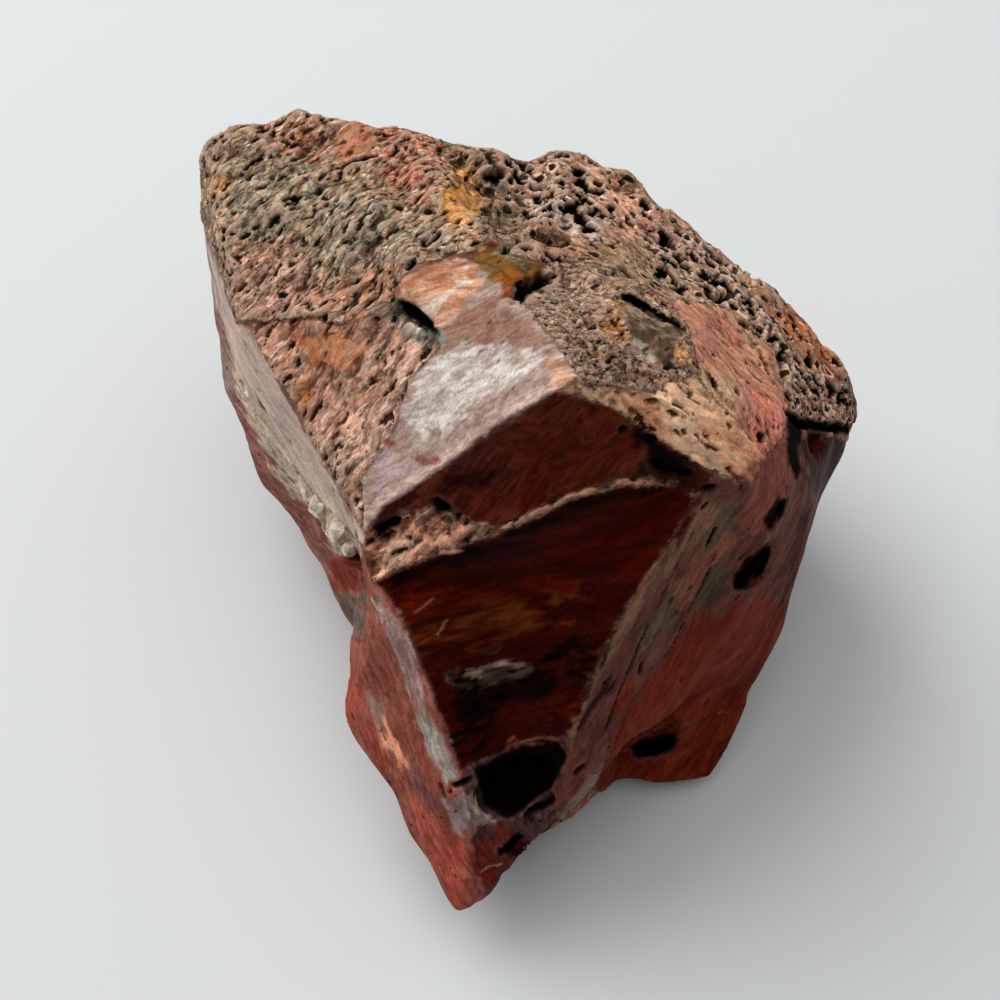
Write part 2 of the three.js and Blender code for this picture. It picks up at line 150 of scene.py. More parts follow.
# The faces of the stone that the photograph shows: the outline of each, its style, one of its streaks
# from end to end, its colour and the colour of its streaks.
FACES = {
    "crust": dict(
        style="crusty", streak=((250, 300), (300, 250)), colour="#977b64", streaks="#ae9077",
        outline=[(180, 170), (190, 132), (247, 100), (306, 92), (360, 105), (440, 122), (492, 148),
            (492, 200), (485, 250), (457, 255), (420, 262), (400, 278), (393, 300), (360, 312),
            (345, 326), (310, 318), (236, 322), (224, 285), (210, 242), (196, 200)]),
    "shoulder": dict(
        style="bubbly", streak=((560, 200), (640, 260)), colour="#9e705b", streaks="#caa388",
        outline=[(488, 150), (530, 138), (590, 142), (655, 175), (713, 225), (790, 282), (840, 322),
            (875, 380), (880, 412), (860, 450), (841, 440), (815, 425), (790, 410), (775, 348),
            (735, 310), (697, 302), (668, 300), (640, 285), (600, 262), (555, 262), (500, 252),
            (488, 200)]),
    "grey_patch": dict(
        style="gritty", streak=((560, 330), (640, 300)), colour="#997a69", streaks="#b29480",
        outline=[(520, 296), (548, 262), (600, 258), (640, 282), (668, 300), (690, 330), (700, 372),
            (650, 392), (590, 385), (570, 365), (545, 330)]),
    "inner_face": dict(
        style="veined", streak=((690, 330), (765, 430)), colour="#c57e67", streaks="#d7997c",
        outline=[(662, 296), (697, 300), (735, 308), (775, 346), (790, 410), (785, 440), (765, 455),
            (735, 420), (700, 378), (684, 335)]),
    "brow": dict(
        style="fibrous", streak=((620, 398), (742, 470)), colour="#ffd2ac", streaks="#ea9f74",
        outline=[(574, 376), (640, 385), (700, 375), (735, 418), (768, 452), (752, 486), (715, 474),
            (688, 458), (661, 440), (635, 421), (608, 406), (580, 396)]),
    "facet": dict(
        style="waxy", streak=((430, 430), (560, 350)), colour="#9e8578", streaks="#ad968b",
        outline=[(398, 277), (457, 256), (500, 268), (545, 318), (582, 376), (556, 391), (495, 426),
            (459, 455), (422, 481), (381, 506), (364, 534), (360, 478), (386, 445), (398, 416),
            (410, 380), (442, 345)]),
    "step": dict(
        style="hackly", streak=((345, 440), (400, 370)), colour="#c58b72", streaks="#e7bda8",
        outline=[(236, 322), (310, 318), (345, 326), (393, 302), (442, 345), (410, 380), (398, 416),
            (386, 445), (362, 478), (364, 534), (352, 515), (300, 418), (250, 330)]),
    "left_strip": dict(
        style="waxy", streak=((240, 350), (330, 500)), colour="#d4bbad", streaks="#b9a296",
        outline=[(196, 190), (212, 242), (226, 285), (250, 330), (300, 418), (352, 515), (366, 536),
            (362, 545), (338, 520), (316, 496), (287, 452), (260, 411), (236, 372), (215, 300),
            (196, 240)]),
    "left_under": dict(
        style="plain", streak=((240, 400), (325, 530)), colour="#7d4a44", streaks="#9a6a60",
        outline=[(190, 190), (215, 300), (236, 372), (260, 411), (287, 452), (316, 496), (338, 520),
            (362, 545), (366, 640), (330, 640), (260, 500), (200, 380)]),
    "upper_scoop": dict(
        style="glassy", streak=((440, 478), (560, 415)), colour="#42130a", streaks="#6c3020",
        outline=[(366, 536), (381, 506), (422, 481), (459, 455), (495, 426), (556, 391), (580, 394),
            (608, 406), (635, 421), (661, 440), (688, 458), (715, 474), (697, 492), (676, 478),
            (621, 478), (568, 494), (527, 514), (490, 528), (440, 505), (400, 515)]),
    "ledge": dict(
        style="shattered", streak=((395, 560), (450, 510)), colour="#a55f4b", streaks="#e99f84",
        outline=[(364, 540), (400, 515), (440, 503), (490, 526), (527, 512), (568, 492), (621, 476),
            (676, 476), (697, 494), (675, 486), (621, 485), (568, 501), (527, 522), (490, 536),
            (440, 552), (395, 572), (372, 582)]),
    "lower_scoop": dict(
        style="glassy", streak=((440, 620), (640, 560)), colour="#2c0603", streaks="#3d0d04",
        outline=[(372, 582), (395, 572), (440, 552), (490, 536), (527, 522), (568, 501), (621, 485),
            (675, 486), (694, 498), (680, 526), (648, 574), (621, 617), (602, 660), (589, 695),
            (568, 738), (516, 743), (462, 768), (448, 737), (434, 695), (418, 660), (407, 628),
            (388, 592)]),
    "right_face": dict(
        style="waxy", streak=((730, 500), (600, 720)), colour="#5c322b", streaks="#6e443b",
        outline=[(694, 496), (715, 474), (752, 486), (768, 452), (790, 440), (845, 440), (850, 500),
            (820, 600), (800, 640), (780, 690), (700, 720), (660, 728), (604, 761), (560, 812),
            (545, 800), (570, 750), (589, 697), (602, 662), (621, 619), (648, 576), (680, 528)]),
    "foot": dict(
        style="plain", streak=((680, 760), (760, 660)), colour="#641f10", streaks="#782d18",
        outline=[(700, 720), (780, 690), (800, 640), (800, 700), (730, 790), (640, 800), (590, 790),
            (604, 761), (660, 728)]),
    "spur": dict(
        style="plain", streak=((390, 640), (460, 830)), colour="#86463a", streaks="#985a4c",
        outline=[(362, 545), (372, 582), (388, 592), (407, 628), (418, 660), (434, 695), (448, 737),
            (462, 768), (475, 850), (490, 910), (455, 930), (400, 850), (330, 720), (345, 640)]),
    "tip": dict(
        style="plain", streak=((465, 820), (500, 870)), colour="#472a29", streaks="#5e413f",
        outline=[(462, 768), (516, 743), (568, 740), (572, 790), (540, 850), (500, 890), (480, 915),
            (465, 860), (455, 800)]),
}

# What the camera doesn't see.
UNSEEN = dict(style="plain", colour="#7a4438", streaks="#94604f",
              along=(0.9, 0.3, 0.25), out=(0.2, -0.9, 0.4))

LOOKS_OF = {**FACES, "unseen": UNSEEN}

# Patches of colour on what the camera doesn't see: size, how rare, colour and colour of the streaks.
PATCHES = [
    (9.0, 0.02, "#8a5142", "#a0665a"),
    (6.5, 0.1, "#8a5334", "#a36d48"),
    (7.5, 0.12, "#6a5850", "#84726a"),
    (5.0, 0.18, "#54221a", "#6c3126"),
    (4.2, 0.28, "#967868", "#ad917e"),
]

# Grains of other colours in the granular faces: grains to a millimetre, the noise between which they
# fade in, how strong they are and their colour. The palest are partly grain colour and partly painted
# glints; the near-black ones are painted shade in tiny pits.
GRAIN_TINTS = [
    (0.8, 0.53, 0.62, 0.4, "#8a4a34"),
    (1.0, 0.54, 0.62, 0.45, "#716d5a"),
    (1.3, 0.55, 0.62, 0.35, "#b08a52"),
    (1.7, 0.56, 0.62, 0.45, "#b98a76"),
    # Partly grain colour, partly painted glints.
    (2.4, 0.57, 0.62, 0.6, "#c9bba8"),
    # Painted shade in tiny pits.
    (3.0, 0.43, 0.37, 0.85, "#1a100b"),
]

# The mosaic of chips in the granular faces, painted in colour only: chips to a millimetre, how dark the
# painted shade in the gaps between them is, and how much their tones differ, partly as their own colour
# and partly as painted light and shade on their facets. A gap is as wide as this share of a chip.
CHIPS = [(1.8, 0.6, 0.3), (4.0, 0.72, 0.22)]
CHIP_GAP = 0.17

# The tiny vesicles to a millimetre, and the colours of the painted shade in creases, of ridges paled
# partly for dust and wear and partly as a painted highlight, and of painted deep shade.
VESICLES = 1.15
CREASE_SHADE_COLOUR = "#150c09"
RIDGE_COLOUR = "#d3b7a3"
SHADE_COLOUR = "#060302"

# The material's noises to a millimetre, and how far the first bends the others.
WARP_NOISE = 1.3
WARP = 0.6
BAND_NOISE = 0.7
THREAD_NOISE = 2.6
GRAIN_NOISE = 2.4
SPECKLE_NOISE = 5.0

# Where the material's ramps start and end: the streaks and the fine tone over their noise, the tones
# from darkest to lightest, the grains over how granular a face is, and the chips' tones.
BAND_RAMP = (0.38, 0.62)
TONES = (0.74, 1.26)
GRAINY_RAMP = (0.08, 0.85)
CHIP_RAMP = (0.2, 0.8)

# The same for the vesicles: which cells have one, their holes and rings by the distance from a cell's
# middle, and the rings' strength over how bubbly a face is.
CHOSEN_RAMP = (1.0, 1.05)
HOLE_RAMP = (0.26, 0.34)
RING_START = (0.3, 0.38)
RING_END = (0.42, 0.54)
RING_RAMP = (0.3, 0.9)
RING_STRENGTHS = (0.05, 0.7)

# The same for the painted shade in creases and for the paled ridges, partly dust and wear and partly
# painted highlight, over how far a point lies under its neighbours in millimetres.
CREASE_SHADE_RAMP = (0.004, 0.07)
RIDGE_RAMP = (-0.015, -0.07)

# The roughness from dull to polished, how much grains and deep shade add to it, the bump in
# millimetres, how much streaks show in it, and how much the stone reflects.
ROUGHNESS = (0.8, 0.25)
GRAIN_ROUGHNESS = 0.3
SHADE_ROUGHNESS = 0.3
BUMP = 0.24
STREAK_BUMP = 0.25
REFRACTION = 1.54
REFLECTION = 0.018

# Coloured areas on the faces, a few of them painted light and shade as noted at each: outline, colour,
# colour of the streaks in it, and how soft its edge is.
STAINS = {
    "seam": ([(226, 360), (240, 362), (262, 405), (290, 450), (320, 495), (345, 518), (362, 540),
        (358, 556), (340, 552), (318, 525), (290, 490), (262, 445), (238, 400)], "#bba692", "#e4d3ba", 5),
    "crust_grey": ([(212, 172), (250, 148), (325, 170), (385, 200), (425, 232), (385, 262), (335, 285),
        (290, 242), (228, 232)], "#867c69", "#a3977f", 9),
    "crust_top": ([(240, 112), (330, 105), (350, 150), (300, 160), (262, 140)], "#8a4b36", "#a06146", 8),
    "crust_lump": ([(338, 128), (360, 118), (380, 130), (378, 152), (345, 165), (330, 150)], "#af6c51",
        "#c3886a", 5),
    "crust_right": ([(378, 122), (440, 130), (440, 190), (400, 200), (378, 170)], "#ac5b45", "#c27356",
        8),
    "crust_edge": ([(440, 130), (492, 155), (492, 225), (478, 200), (452, 160)], "#6e5038", "#886748", 6),
    "crust_front": ([(226, 245), (300, 236), (315, 290), (300, 318), (240, 318)], "#ad7a69", "#c69685",
        8),
    "crust_front_right": ([(315, 285), (395, 270), (395, 300), (345, 326), (315, 315)], "#b07356",
        "#c99273", 7),
    "orange_lichen": ([(206, 180), (222, 176), (236, 186), (230, 200), (210, 198)], "#bf7a45", "#dba06c",
        5),
    "ochre": ([(446, 168), (466, 166), (484, 186), (486, 212), (470, 222), (444, 222), (440, 200)],
        "#ce8339", "#f5b872", 4),
    "ochre_valley": ([(470, 236), (500, 246), (540, 262), (520, 278), (506, 292), (480, 272)], "#644919",
        "#8d5f28", 5),
    "ochre_deep": ([(498, 276), (520, 272), (512, 292), (502, 296)], "#7a3a0e", "#a2581a", 3),
    "valley": ([(486, 160), (505, 165), (530, 210), (530, 262), (500, 250), (486, 215)], "#70614e",
        "#a59376", 6),
    "shoulder_pink": ([(590, 165), (640, 195), (662, 235), (620, 240), (590, 200)], "#f2a78b", "#f6c5a8",
        8),
    "shoulder_tan": ([(600, 232), (660, 250), (672, 296), (620, 280)], "#a48461", "#c3a27d", 7),
    "ridge_gold": ([(664, 262), (700, 262), (745, 300), (770, 340), (750, 345), (715, 305), (676, 290)],
        "#997454", "#c5a17e", 8),
    "ridge_pale": ([(540, 196), (575, 205), (610, 222), (600, 234), (560, 226), (535, 212)], "#c7a9a2",
        "#e7cec7", 7),
    "rim_tan": ([(770, 300), (825, 330), (850, 380), (820, 385), (785, 330)], "#d06b33", "#e5884a", 8),
    "rim_red": ([(790, 372), (862, 385), (862, 425), (800, 425)], "#823c33", "#a86a5c", 8),
    "grey_glass": ([(622, 308), (682, 332), (672, 362), (652, 366), (632, 340)], "#4f412d", "#5b4c37", 3),
    "white_glass": ([(628, 338), (640, 340), (656, 362), (648, 366)], "#b3a492", "#d3c4b0", 3),
    "gold_rim": ([(600, 330), (612, 300), (624, 312), (626, 340), (610, 345)], "#ad7034", "#d69249", 4),
    "gold_spot": ([(672, 340), (688, 342), (690, 362), (676, 362)], "#db9e62", "#eec18b", 3),
    "dark_grit": ([(562, 330), (600, 336), (640, 362), (650, 388), (590, 382)], "#684f41", "#8a6a5d", 6),
    "inner_green": ([(692, 372), (735, 372), (745, 410), (722, 425), (700, 405)], "#c49a77", "#dab28e",
        7),
    "inner_red": ([(748, 395), (786, 402), (784, 438), (760, 452), (745, 425)], "#f8866d", "#fca490", 7),
    "facet_orange": ([(399, 278), (456, 258), (478, 268), (486, 290), (440, 330), (424, 318), (398, 300)],
        "#be7650", "#e2c2a9", 4),
    "facet_mauve": ([(440, 345), (486, 292), (530, 320), (575, 372), (520, 350), (470, 362)], "#876355",
        "#986f60", 7),
    # The white band: partly its own colour, partly painted sheen.
    "facet_white_and_sheen": ([(410, 392), (440, 352), (520, 350), (560, 352), (540, 385), (470, 440), (410, 440)],
        "#b5a59c", "#dcd6d2", 9),
    "facet_rose": ([(480, 395), (560, 365), (576, 378), (500, 424), (440, 462), (425, 455)], "#967b6f",
        "#a69087", 7),
    "lavender": ([(368, 462), (392, 450), (420, 462), (400, 480), (376, 498)], "#a48f90", "#b29d9c", 6),
    "lilac_rim": ([(366, 500), (400, 480), (440, 466), (400, 496), (376, 514)], "#8a706c", "#9c8380", 5),
    "step_orange": ([(288, 335), (330, 328), (372, 345), (350, 368), (310, 362)], "#c57348", "#d49166",
        6),
    "step_top": ([(236, 322), (400, 312), (380, 330), (300, 330), (250, 336)], "#b4755d", "#ce967e", 5),
    "notch": ([(372, 312), (402, 300), (446, 342), (428, 350), (400, 330)], "#576159", "#828a7e", 5),
    "step_orange_spot": ([(300, 384), (314, 380), (312, 412), (300, 410)], "#de813c", "#fca55d", 4),
    "step_lilac": ([(330, 395), (352, 390), (350, 420), (330, 440)], "#ebaa93", "#fabda4", 6),
    "step_foot": ([(300, 415), (330, 440), (366, 500), (364, 534), (350, 512)], "#b58d7a", "#d6b097", 5),
    "dark_block": ([(798, 436), (845, 432), (842, 480), (825, 508), (802, 480)], "#230403", "#380a06", 5),
    "mauve_top": ([(752, 462), (790, 440), (800, 470), (796, 505), (770, 532), (742, 545), (735, 520),
        (748, 490)], "#7e4338", "#955649", 7),
    "slate": ([(720, 500), (745, 485), (735, 530), (690, 590), (650, 660), (640, 640), (700, 550)],
        "#574638", "#695745", 6),
    "slate_pool": ([(690, 560), (735, 560), (730, 600), (690, 615)], "#3e3428", "#514635", 6),
    "rose_vein": ([(672, 590), (700, 555), (745, 525), (750, 540), (705, 575), (682, 605)], "#7b4636",
        "#8c5747", 5),
    "brick": ([(700, 612), (800, 585), (800, 640), (780, 690), (700, 722), (620, 752), (600, 740),
        (640, 680)], "#6a2210", "#80301a", 10),
    "brick_low": ([(720, 690), (790, 640), (760, 700), (720, 770), (690, 760)], "#5c1a0c", "#702612", 8),
    "taupe": ([(700, 505), (720, 490), (735, 500), (640, 600), (600, 680), (570, 745), (562, 740),
        (600, 660), (648, 575)], "#7a5844", "#86644f", 5),
    "ochre_band": ([(408, 628), (480, 606), (570, 590), (560, 622), (470, 640), (415, 655)], "#471908",
        "#663211", 18),
    "brown_band": ([(400, 596), (470, 570), (560, 560), (560, 585), (470, 600), (408, 622)], "#370903",
        "#541506", 18),
    "pale_streak": ([(447, 680), (470, 670), (500, 658), (532, 655), (528, 668), (495, 676), (465, 690)],
        "#80695c", "#9b867a", 8),
    "black_band": ([(440, 690), (590, 640), (600, 660), (575, 700), (450, 740)], "#070202", "#120504",
        22),
    "scoop_red": ([(500, 722), (560, 700), (580, 700), (566, 738), (516, 742)], "#2c0603", "#460c06", 14),
    # Painted shade on the left of the upper scoop, and in the next area painted light on its middle.
    "upper_painted_shade": ([(366, 536), (395, 500), (440, 476), (500, 440), (520, 470), (470, 500), (440, 500),
        (400, 512)], "#260603", "#380c04", 18),
    "upper_lit": ([(500, 440), (560, 410), (620, 430), (640, 465), (570, 480), (520, 490)], "#4e1709",
        "#692511", 22),
    # Painted shade under the brow.
    "under_brow_painted_shade": ([(636, 430), (690, 462), (696, 480), (640, 474)], "#160604", "#2a0d07", 10),
    "scoop_top": ([(540, 520), (690, 490), (680, 530), (640, 570), (600, 560), (520, 560)], "#3d0904",
        "#4f0e06", 20),
    # Painted shadow of the ledge on the scoop below it.
    "scoop_edge_shadow": ([(388, 590), (395, 572), (440, 552), (490, 538), (527, 524), (568, 503), (621, 487),
        (650, 490), (621, 500), (568, 518), (527, 540), (490, 554), (440, 570), (400, 592)], "#0c0202",
        "#170402", 8),
    # Painted highlight along the facet's crest.
    "facet_rim_highlight": ([(364, 534), (381, 507), (422, 482), (459, 455), (495, 426), (556, 391), (552, 383),
        (495, 414), (455, 444), (420, 468), (378, 494), (364, 515)], "#c0a298", "#cfb4aa", 3),
    "facet_crease": ([(386, 440), (398, 452), (422, 468), (440, 462), (436, 456), (420, 458), (400, 444)],
        "#7d463e", "#915a52", 5),
    "facet_corner": ([(545, 350), (580, 372), (582, 396), (560, 395), (545, 375)], "#a0745c", "#d2a88c",
        5),
    "facet_stripe": ([(408, 322), (430, 300), (466, 272), (474, 282), (440, 308), (418, 332)], "#dec7b7",
        "#ead9cd", 4),
    "right_edge": ([(800, 505), (832, 500), (810, 540), (808, 570), (798, 600), (788, 622), (772, 600),
        (790, 560)], "#3e100a", "#561c12", 8),
    "ledge_pale": ([(470, 520), (495, 526), (490, 534), (470, 534)], "#a8806e", "#d5a892", 4),
    "ledge_grey": ([(400, 512), (440, 500), (470, 520), (450, 530), (410, 525)], "#553a2c", "#7f5e4c", 5),
    "ledge_brown": ([(372, 520), (396, 510), (394, 530), (372, 540)], "#2c0503", "#420b05", 5),
    "ledge_glow": ([(380, 545), (440, 520), (455, 545), (400, 566), (376, 572)], "#ef9778", "#fccaac", 6),
    "under_red": ([(326, 560), (362, 560), (366, 590), (350, 596), (334, 590)], "#6e2618", "#8c3726", 5),
    "under_grey": ([(334, 592), (364, 596), (362, 640), (345, 620)], "#564940", "#6c5f56", 5),
    "outer_mauve": ([(196, 200), (214, 260), (222, 340), (238, 400), (222, 400), (205, 300)], "#8f7670",
        "#a2908a", 6),
    "spur_grey": ([(376, 592), (400, 625), (430, 700), (452, 765), (442, 790), (415, 715), (385, 625)],
        "#967a73", "#a78f87", 5),
    "spur_white": ([(420, 715), (436, 730), (456, 775), (446, 790), (425, 745)], "#978d87", "#b5ada5", 3),
    "spur_olive": ([(360, 690), (382, 700), (390, 730), (376, 742), (360, 720)], "#86685c", "#9d7e70", 6),
    "spur_orange": ([(382, 716), (404, 740), (408, 775), (396, 770), (380, 745)], "#fc9976", "#fcb59b",
        5),
    "spur_left": ([(340, 690), (362, 670), (366, 720), (392, 760), (380, 770), (345, 720)], "#954031",
        "#aa5648", 6),
    "spur_low": ([(400, 770), (420, 790), (470, 870), (480, 905), (455, 915), (430, 860)], "#a64738",
        "#bb6352", 6),
    "spur_mauve": ([(408, 758), (436, 790), (450, 815), (430, 815), (410, 785)], "#6e403b", "#7e4f4a", 5),
    "tip_lilac": ([(440, 800), (475, 790), (490, 815), (480, 836), (455, 830)], "#897474", "#a49493", 5),
    "tip_red": ([(478, 838), (520, 830), (520, 852), (495, 885), (470, 880)], "#601913", "#7d2d26", 6),
}

# Places in deep shade, nearly black: the outline of each and how soft its edge is.
SHADES = {
    "window": ([(472, 768), (522, 745), (558, 744), (567, 758), (549, 790), (508, 820), (488, 808)], 4),
    "under_brow": ([(634, 432), (660, 446), (686, 463), (698, 475), (680, 473), (660, 472), (650, 458)],
        8),
    "slot": ([(621, 294), (630, 293), (687, 327), (684, 332), (650, 314), (624, 301)], 3),
    "notch": ([(398, 300), (410, 300), (436, 322), (440, 336), (424, 330), (402, 312)], 4),
    "ledge_gap": ([(430, 500), (446, 500), (452, 512), (436, 514)], 4),
    "ledge_end": ([(372, 526), (396, 516), (400, 528), (376, 540)], 5),
    "ochre_hole": ([(512, 292), (530, 280), (550, 274), (540, 290), (520, 303)], 3),
    "foot_recess": ([(628, 748), (645, 737), (676, 732), (677, 748), (655, 757)], 5),
    "vug": ([(734, 590), (734, 576), (745, 560), (760, 548), (772, 544), (772, 558), (764, 573),
        (750, 589)], 3),
    "vug_top": ([(764, 520), (776, 500), (788, 498), (784, 515), (770, 532)], 5),
    "sliver": ([(527, 817), (531, 806), (551, 795), (556, 800), (541, 812)], 3),
    "sliver_low": ([(497, 858), (504, 845), (519, 832), (523, 838), (511, 851)], 3),
    "right_crack": ([(786, 434), (797, 438), (802, 470), (796, 482), (789, 462)], 4),
    "right_groove": ([(786, 408), (800, 418), (850, 424), (848, 434), (805, 430), (796, 450), (788, 440)],
        4),
}

# Smooth glossy patches in rough faces.
CALM = {
    "grey_glass": [(620, 306), (640, 306), (686, 332), (674, 362), (655, 370), (632, 342)],
    "ochre": [(444, 190), (462, 184), (478, 200), (470, 220), (446, 222)],
    "ochre_valley": [(474, 244), (500, 250), (530, 264), (512, 290), (486, 270)],
    "step_orange": [(290, 338), (328, 332), (368, 347), (348, 364), (312, 360)],
    "crust_lump": [(340, 132), (360, 122), (376, 134), (372, 150), (346, 160), (334, 148)],
}

# Hollows: a run of pixels that each follows, how wide it is in pixels and how deep in millimetres.
HOLLOWS = {
    "ochre_hole": ([(514, 296), (528, 286), (545, 278)], 15, 1.2),
    "slot": ([(626, 299), (648, 309), (684, 329)], 7, 1.0),
    "big_bubble": ([(670, 241)], 22, 1.3),
    "valley_hole": ([(488, 178), (500, 172)], 14, 1.0),
    "bubble_a": ([(525, 168)], 11, 0.9),
    "bubble_b": ([(535, 186), (545, 184)], 13, 1.0),
    "bubble_c": ([(570, 186)], 13, 1.0),
    "bubble_d": ([(538, 212), (552, 208)], 9, 0.8),
    "bubble_e": ([(590, 214), (598, 208)], 9, 0.8),
    "bubble_f": ([(625, 270), (634, 278)], 10, 0.8),
    "bubble_g": ([(505, 252), (512, 246)], 9, 0.8),
    "bubble_h": ([(712, 258), (722, 262)], 8, 0.7),
    "bubble_i": ([(695, 246)], 8, 0.7),
    "bubble_j": ([(752, 296)], 10, 0.8),
    "bubble_k": ([(715, 300), (728, 296)], 9, 0.8),
    "bubble_l": ([(760, 310), (764, 316)], 8, 0.8),
    "bubble_m": ([(772, 328), (774, 345)], 10, 0.9),
    "bubble_n": ([(782, 362), (784, 376)], 15, 1.1),
    "bubble_o": ([(668, 294), (674, 300)], 8, 0.7),
    "under_rim": ([(786, 412), (798, 424), (838, 428)], 9, 1.0),
    "groove": ([(664, 262), (676, 280), (692, 300)], 6, 0.5),
    "groove_right": ([(745, 332), (762, 352), (770, 372), (784, 404)], 6, 0.5),
    "pit_a": ([(738, 392)], 8, 0.5),
    "pit_b": ([(650, 402), (656, 403)], 6, 0.4),
    "crust_crack": ([(331, 170), (350, 164), (376, 156)], 4, 0.35),
    "crust_hole": ([(284, 199), (300, 196)], 7, 0.5),
    "crust_hole_b": ([(292, 208)], 7, 0.4),
    "crust_hole_c": ([(230, 206)], 6, 0.4),
    "crust_hole_d": ([(222, 239)], 8, 0.5),
    "crust_hole_e": ([(222, 251)], 7, 0.5),
    "crust_hole_f": ([(228, 228)], 4, 0.3),
    "crust_gap": ([(425, 244), (438, 232)], 7, 0.5),
    "crust_gap_b": ([(408, 268), (412, 262)], 7, 0.5),
    "crust_gap_c": ([(395, 194), (404, 188)], 5, 0.4),
    "notch_hole": ([(402, 304), (420, 314), (434, 326)], 7, 0.7),
    "brow_gap": ([(622, 430), (652, 441)], 9, 0.6),
    "brow_gap_b": ([(654, 462), (674, 468)], 12, 0.8),
    "brow_gap_c": ([(704, 490), (712, 488)], 9, 0.6),
    "brow_gap_d": ([(676, 466), (690, 470)], 8, 0.6),
    "ledge_gap": ([(436, 504), (446, 508)], 11, 0.8),
    "ledge_gap_b": ([(380, 530), (396, 522)], 9, 0.6),
    "sliver": ([(530, 815), (550, 798)], 11, 0.8),
    "sliver_low": ([(502, 852), (518, 838)], 8, 0.8),
    "sliver_right": ([(578, 774), (584, 768)], 7, 0.6),
    "spur_hole": ([(440, 786), (444, 798)], 7, 0.6),
    "spur_hole_b": ([(455, 785), (470, 780)], 6, 0.6),
    "foot_recess": ([(640, 750), (664, 745)], 14, 1.0),
    "vug": ([(742, 581), (753, 567), (764, 553)], 19, 1.0),
    "vug_top": ([(770, 526), (780, 508)], 11, 0.8),
    "vein_line": ([(704, 506), (690, 540), (664, 592), (640, 642), (620, 690), (606, 730)], 2.5, 0.2),
    "vein_line_low": ([(716, 556), (700, 590), (676, 640), (660, 664)], 2, 0.15),
    "vein_pit": ([(670, 604), (672, 600)], 6, 0.4),
    "vein_pit_b": ([(690, 588)], 5, 0.4),
    "vein_pit_c": ([(703, 579)], 4, 0.3),
    "vein_pit_d": ([(708, 545), (715, 530)], 6, 0.3),
    "vein_pit_e": ([(640, 672), (642, 664)], 6, 0.3),
    "seam_hole": ([(283, 472)], 9, 0.8),
    "seam_hole_b": ([(350, 552), (356, 558)], 9, 0.8),
    "strip_hole": ([(257, 372)], 5, 0.4),
}

# Small bubbles strewn over the bubbly faces: their radii, how much commoner the small ones are, their
# depth to a radius, how uneven they are, and how high, strong and pale their rims are.
BUBBLES = dict(seed=8, count=520, small=0.18, large=0.6, bias=2.5, depth=0.95, uneven=0.4,
               rim_reach=1.5, rim_rise=0.05, rim_strength=0.75, rim="#ecd4c2")

# Where the bubbles crowd, and how thin they are elsewhere.
CROWDS = {
    "top": [(512, 160), (560, 165), (600, 175), (622, 214), (560, 226), (515, 205)],
    "ridge": [(636, 222), (700, 238), (765, 290), (795, 345), (785, 385), (740, 330), (690, 302),
        (645, 275)],
    "end": [(780, 345), (830, 360), (856, 395), (850, 425), (798, 420)],
}
THIN = 0.45

# Pale raised threads and edges: the pixels that each follows, its width in pixels, height and colour.
THREADS = {
    "ledge_edge": ([(500, 528), (527, 517), (568, 497), (600, 490), (636, 480)], 4, 0.12, "#c08d70"),
    "scoop_curl": ([(416, 612), (424, 606), (434, 598)], 2.5, 0.03, "#7c4c36"),
    "scoop_curl_b": ([(437, 634), (444, 626), (446, 620)], 2.5, 0.03, "#8a5a44"),
    "window_edge": ([(520, 742), (540, 738), (560, 740)], 3, 0.1, "#7d4436"),
    "lip": ([(508, 742), (514, 736)], 3, 0.05, "#8a3c28"),
    # Painted highlight along the facet's crest, on a slightly raised edge.
    "facet_crest_highlight": ([(381, 505), (422, 480), (459, 453), (495, 424), (554, 390)], 4, 0.05, "#c3a29a"),
    "slot_rim": ([(628, 292), (650, 300), (684, 322)], 4, 0.1, "#b08d63"),
    "crystal_spot": ([(476, 800), (478, 812)], 9, 0.1, "#c8b49a"),
    "spur_edge": ([(372, 600), (380, 612), (382, 622)], 6, 0.1, "#c0ab98"),
    "tip_line": ([(482, 872), (500, 864)], 4, 0.05, "#a8706a"),
}

# Quartz points in the seam of the left face: the pixel each stands at, its radius and its length. Each
# is sunk by a part of its radius, leans out of the stone and along the seam, and has a pointed end.
QUARTZ = [
    ((240, 378), 0.3, 0.7), ((247, 394), 0.45, 0.9), ((255, 412), 0.3, 0.7), ((268, 438), 0.4, 0.9),
    ((305, 490), 0.45, 1.0), ((315, 504), 0.75, 1.3), ((324, 520), 0.4, 0.9), ((338, 530), 0.9, 1.6),
    ((349, 546), 0.6, 1.4),
]
QUARTZ_SEED = 4
QUARTZ_SUNK = 0.6
QUARTZ_OUT = 0.7
QUARTZ_SPREAD = 0.35
QUARTZ_END = 0.8
SEAM = ((240, 380), (345, 540))

# The stage: the floor's half width in metres and its colour, and the point that the lights look at.
FLOOR_HALF = 3.0
FLOOR_COLOUR = "#d6dbdf"
LIT_POINT = (0, 0, 0.015)


def colour_of(text):
    """A screen colour such as #8f7663 as linear red, green and blue."""
    values = np.array([int(text[i:i + 2], 16) / 255 for i in (1, 3, 5)])
    return np.where(values <= 0.04045, values / 12.92, ((values + 0.055) / 1.055) ** 2.4)


def unit(vectors):
    vectors = np.asarray(vectors, float)
    lengths = np.sqrt(np.einsum("...k,...k->...", vectors, vectors))
    return vectors / np.maximum(lengths, 1e-12)[..., None]


def lengths_of(vectors):
    return np.sqrt(np.einsum("ij,ij->i", vectors, vectors))


def smooth_step(values):
    """0 below 0, 1 above 1, and a smooth ramp between them."""
    t = np.clip(values, 0, 1)
    return t * t * (3 - 2 * t)


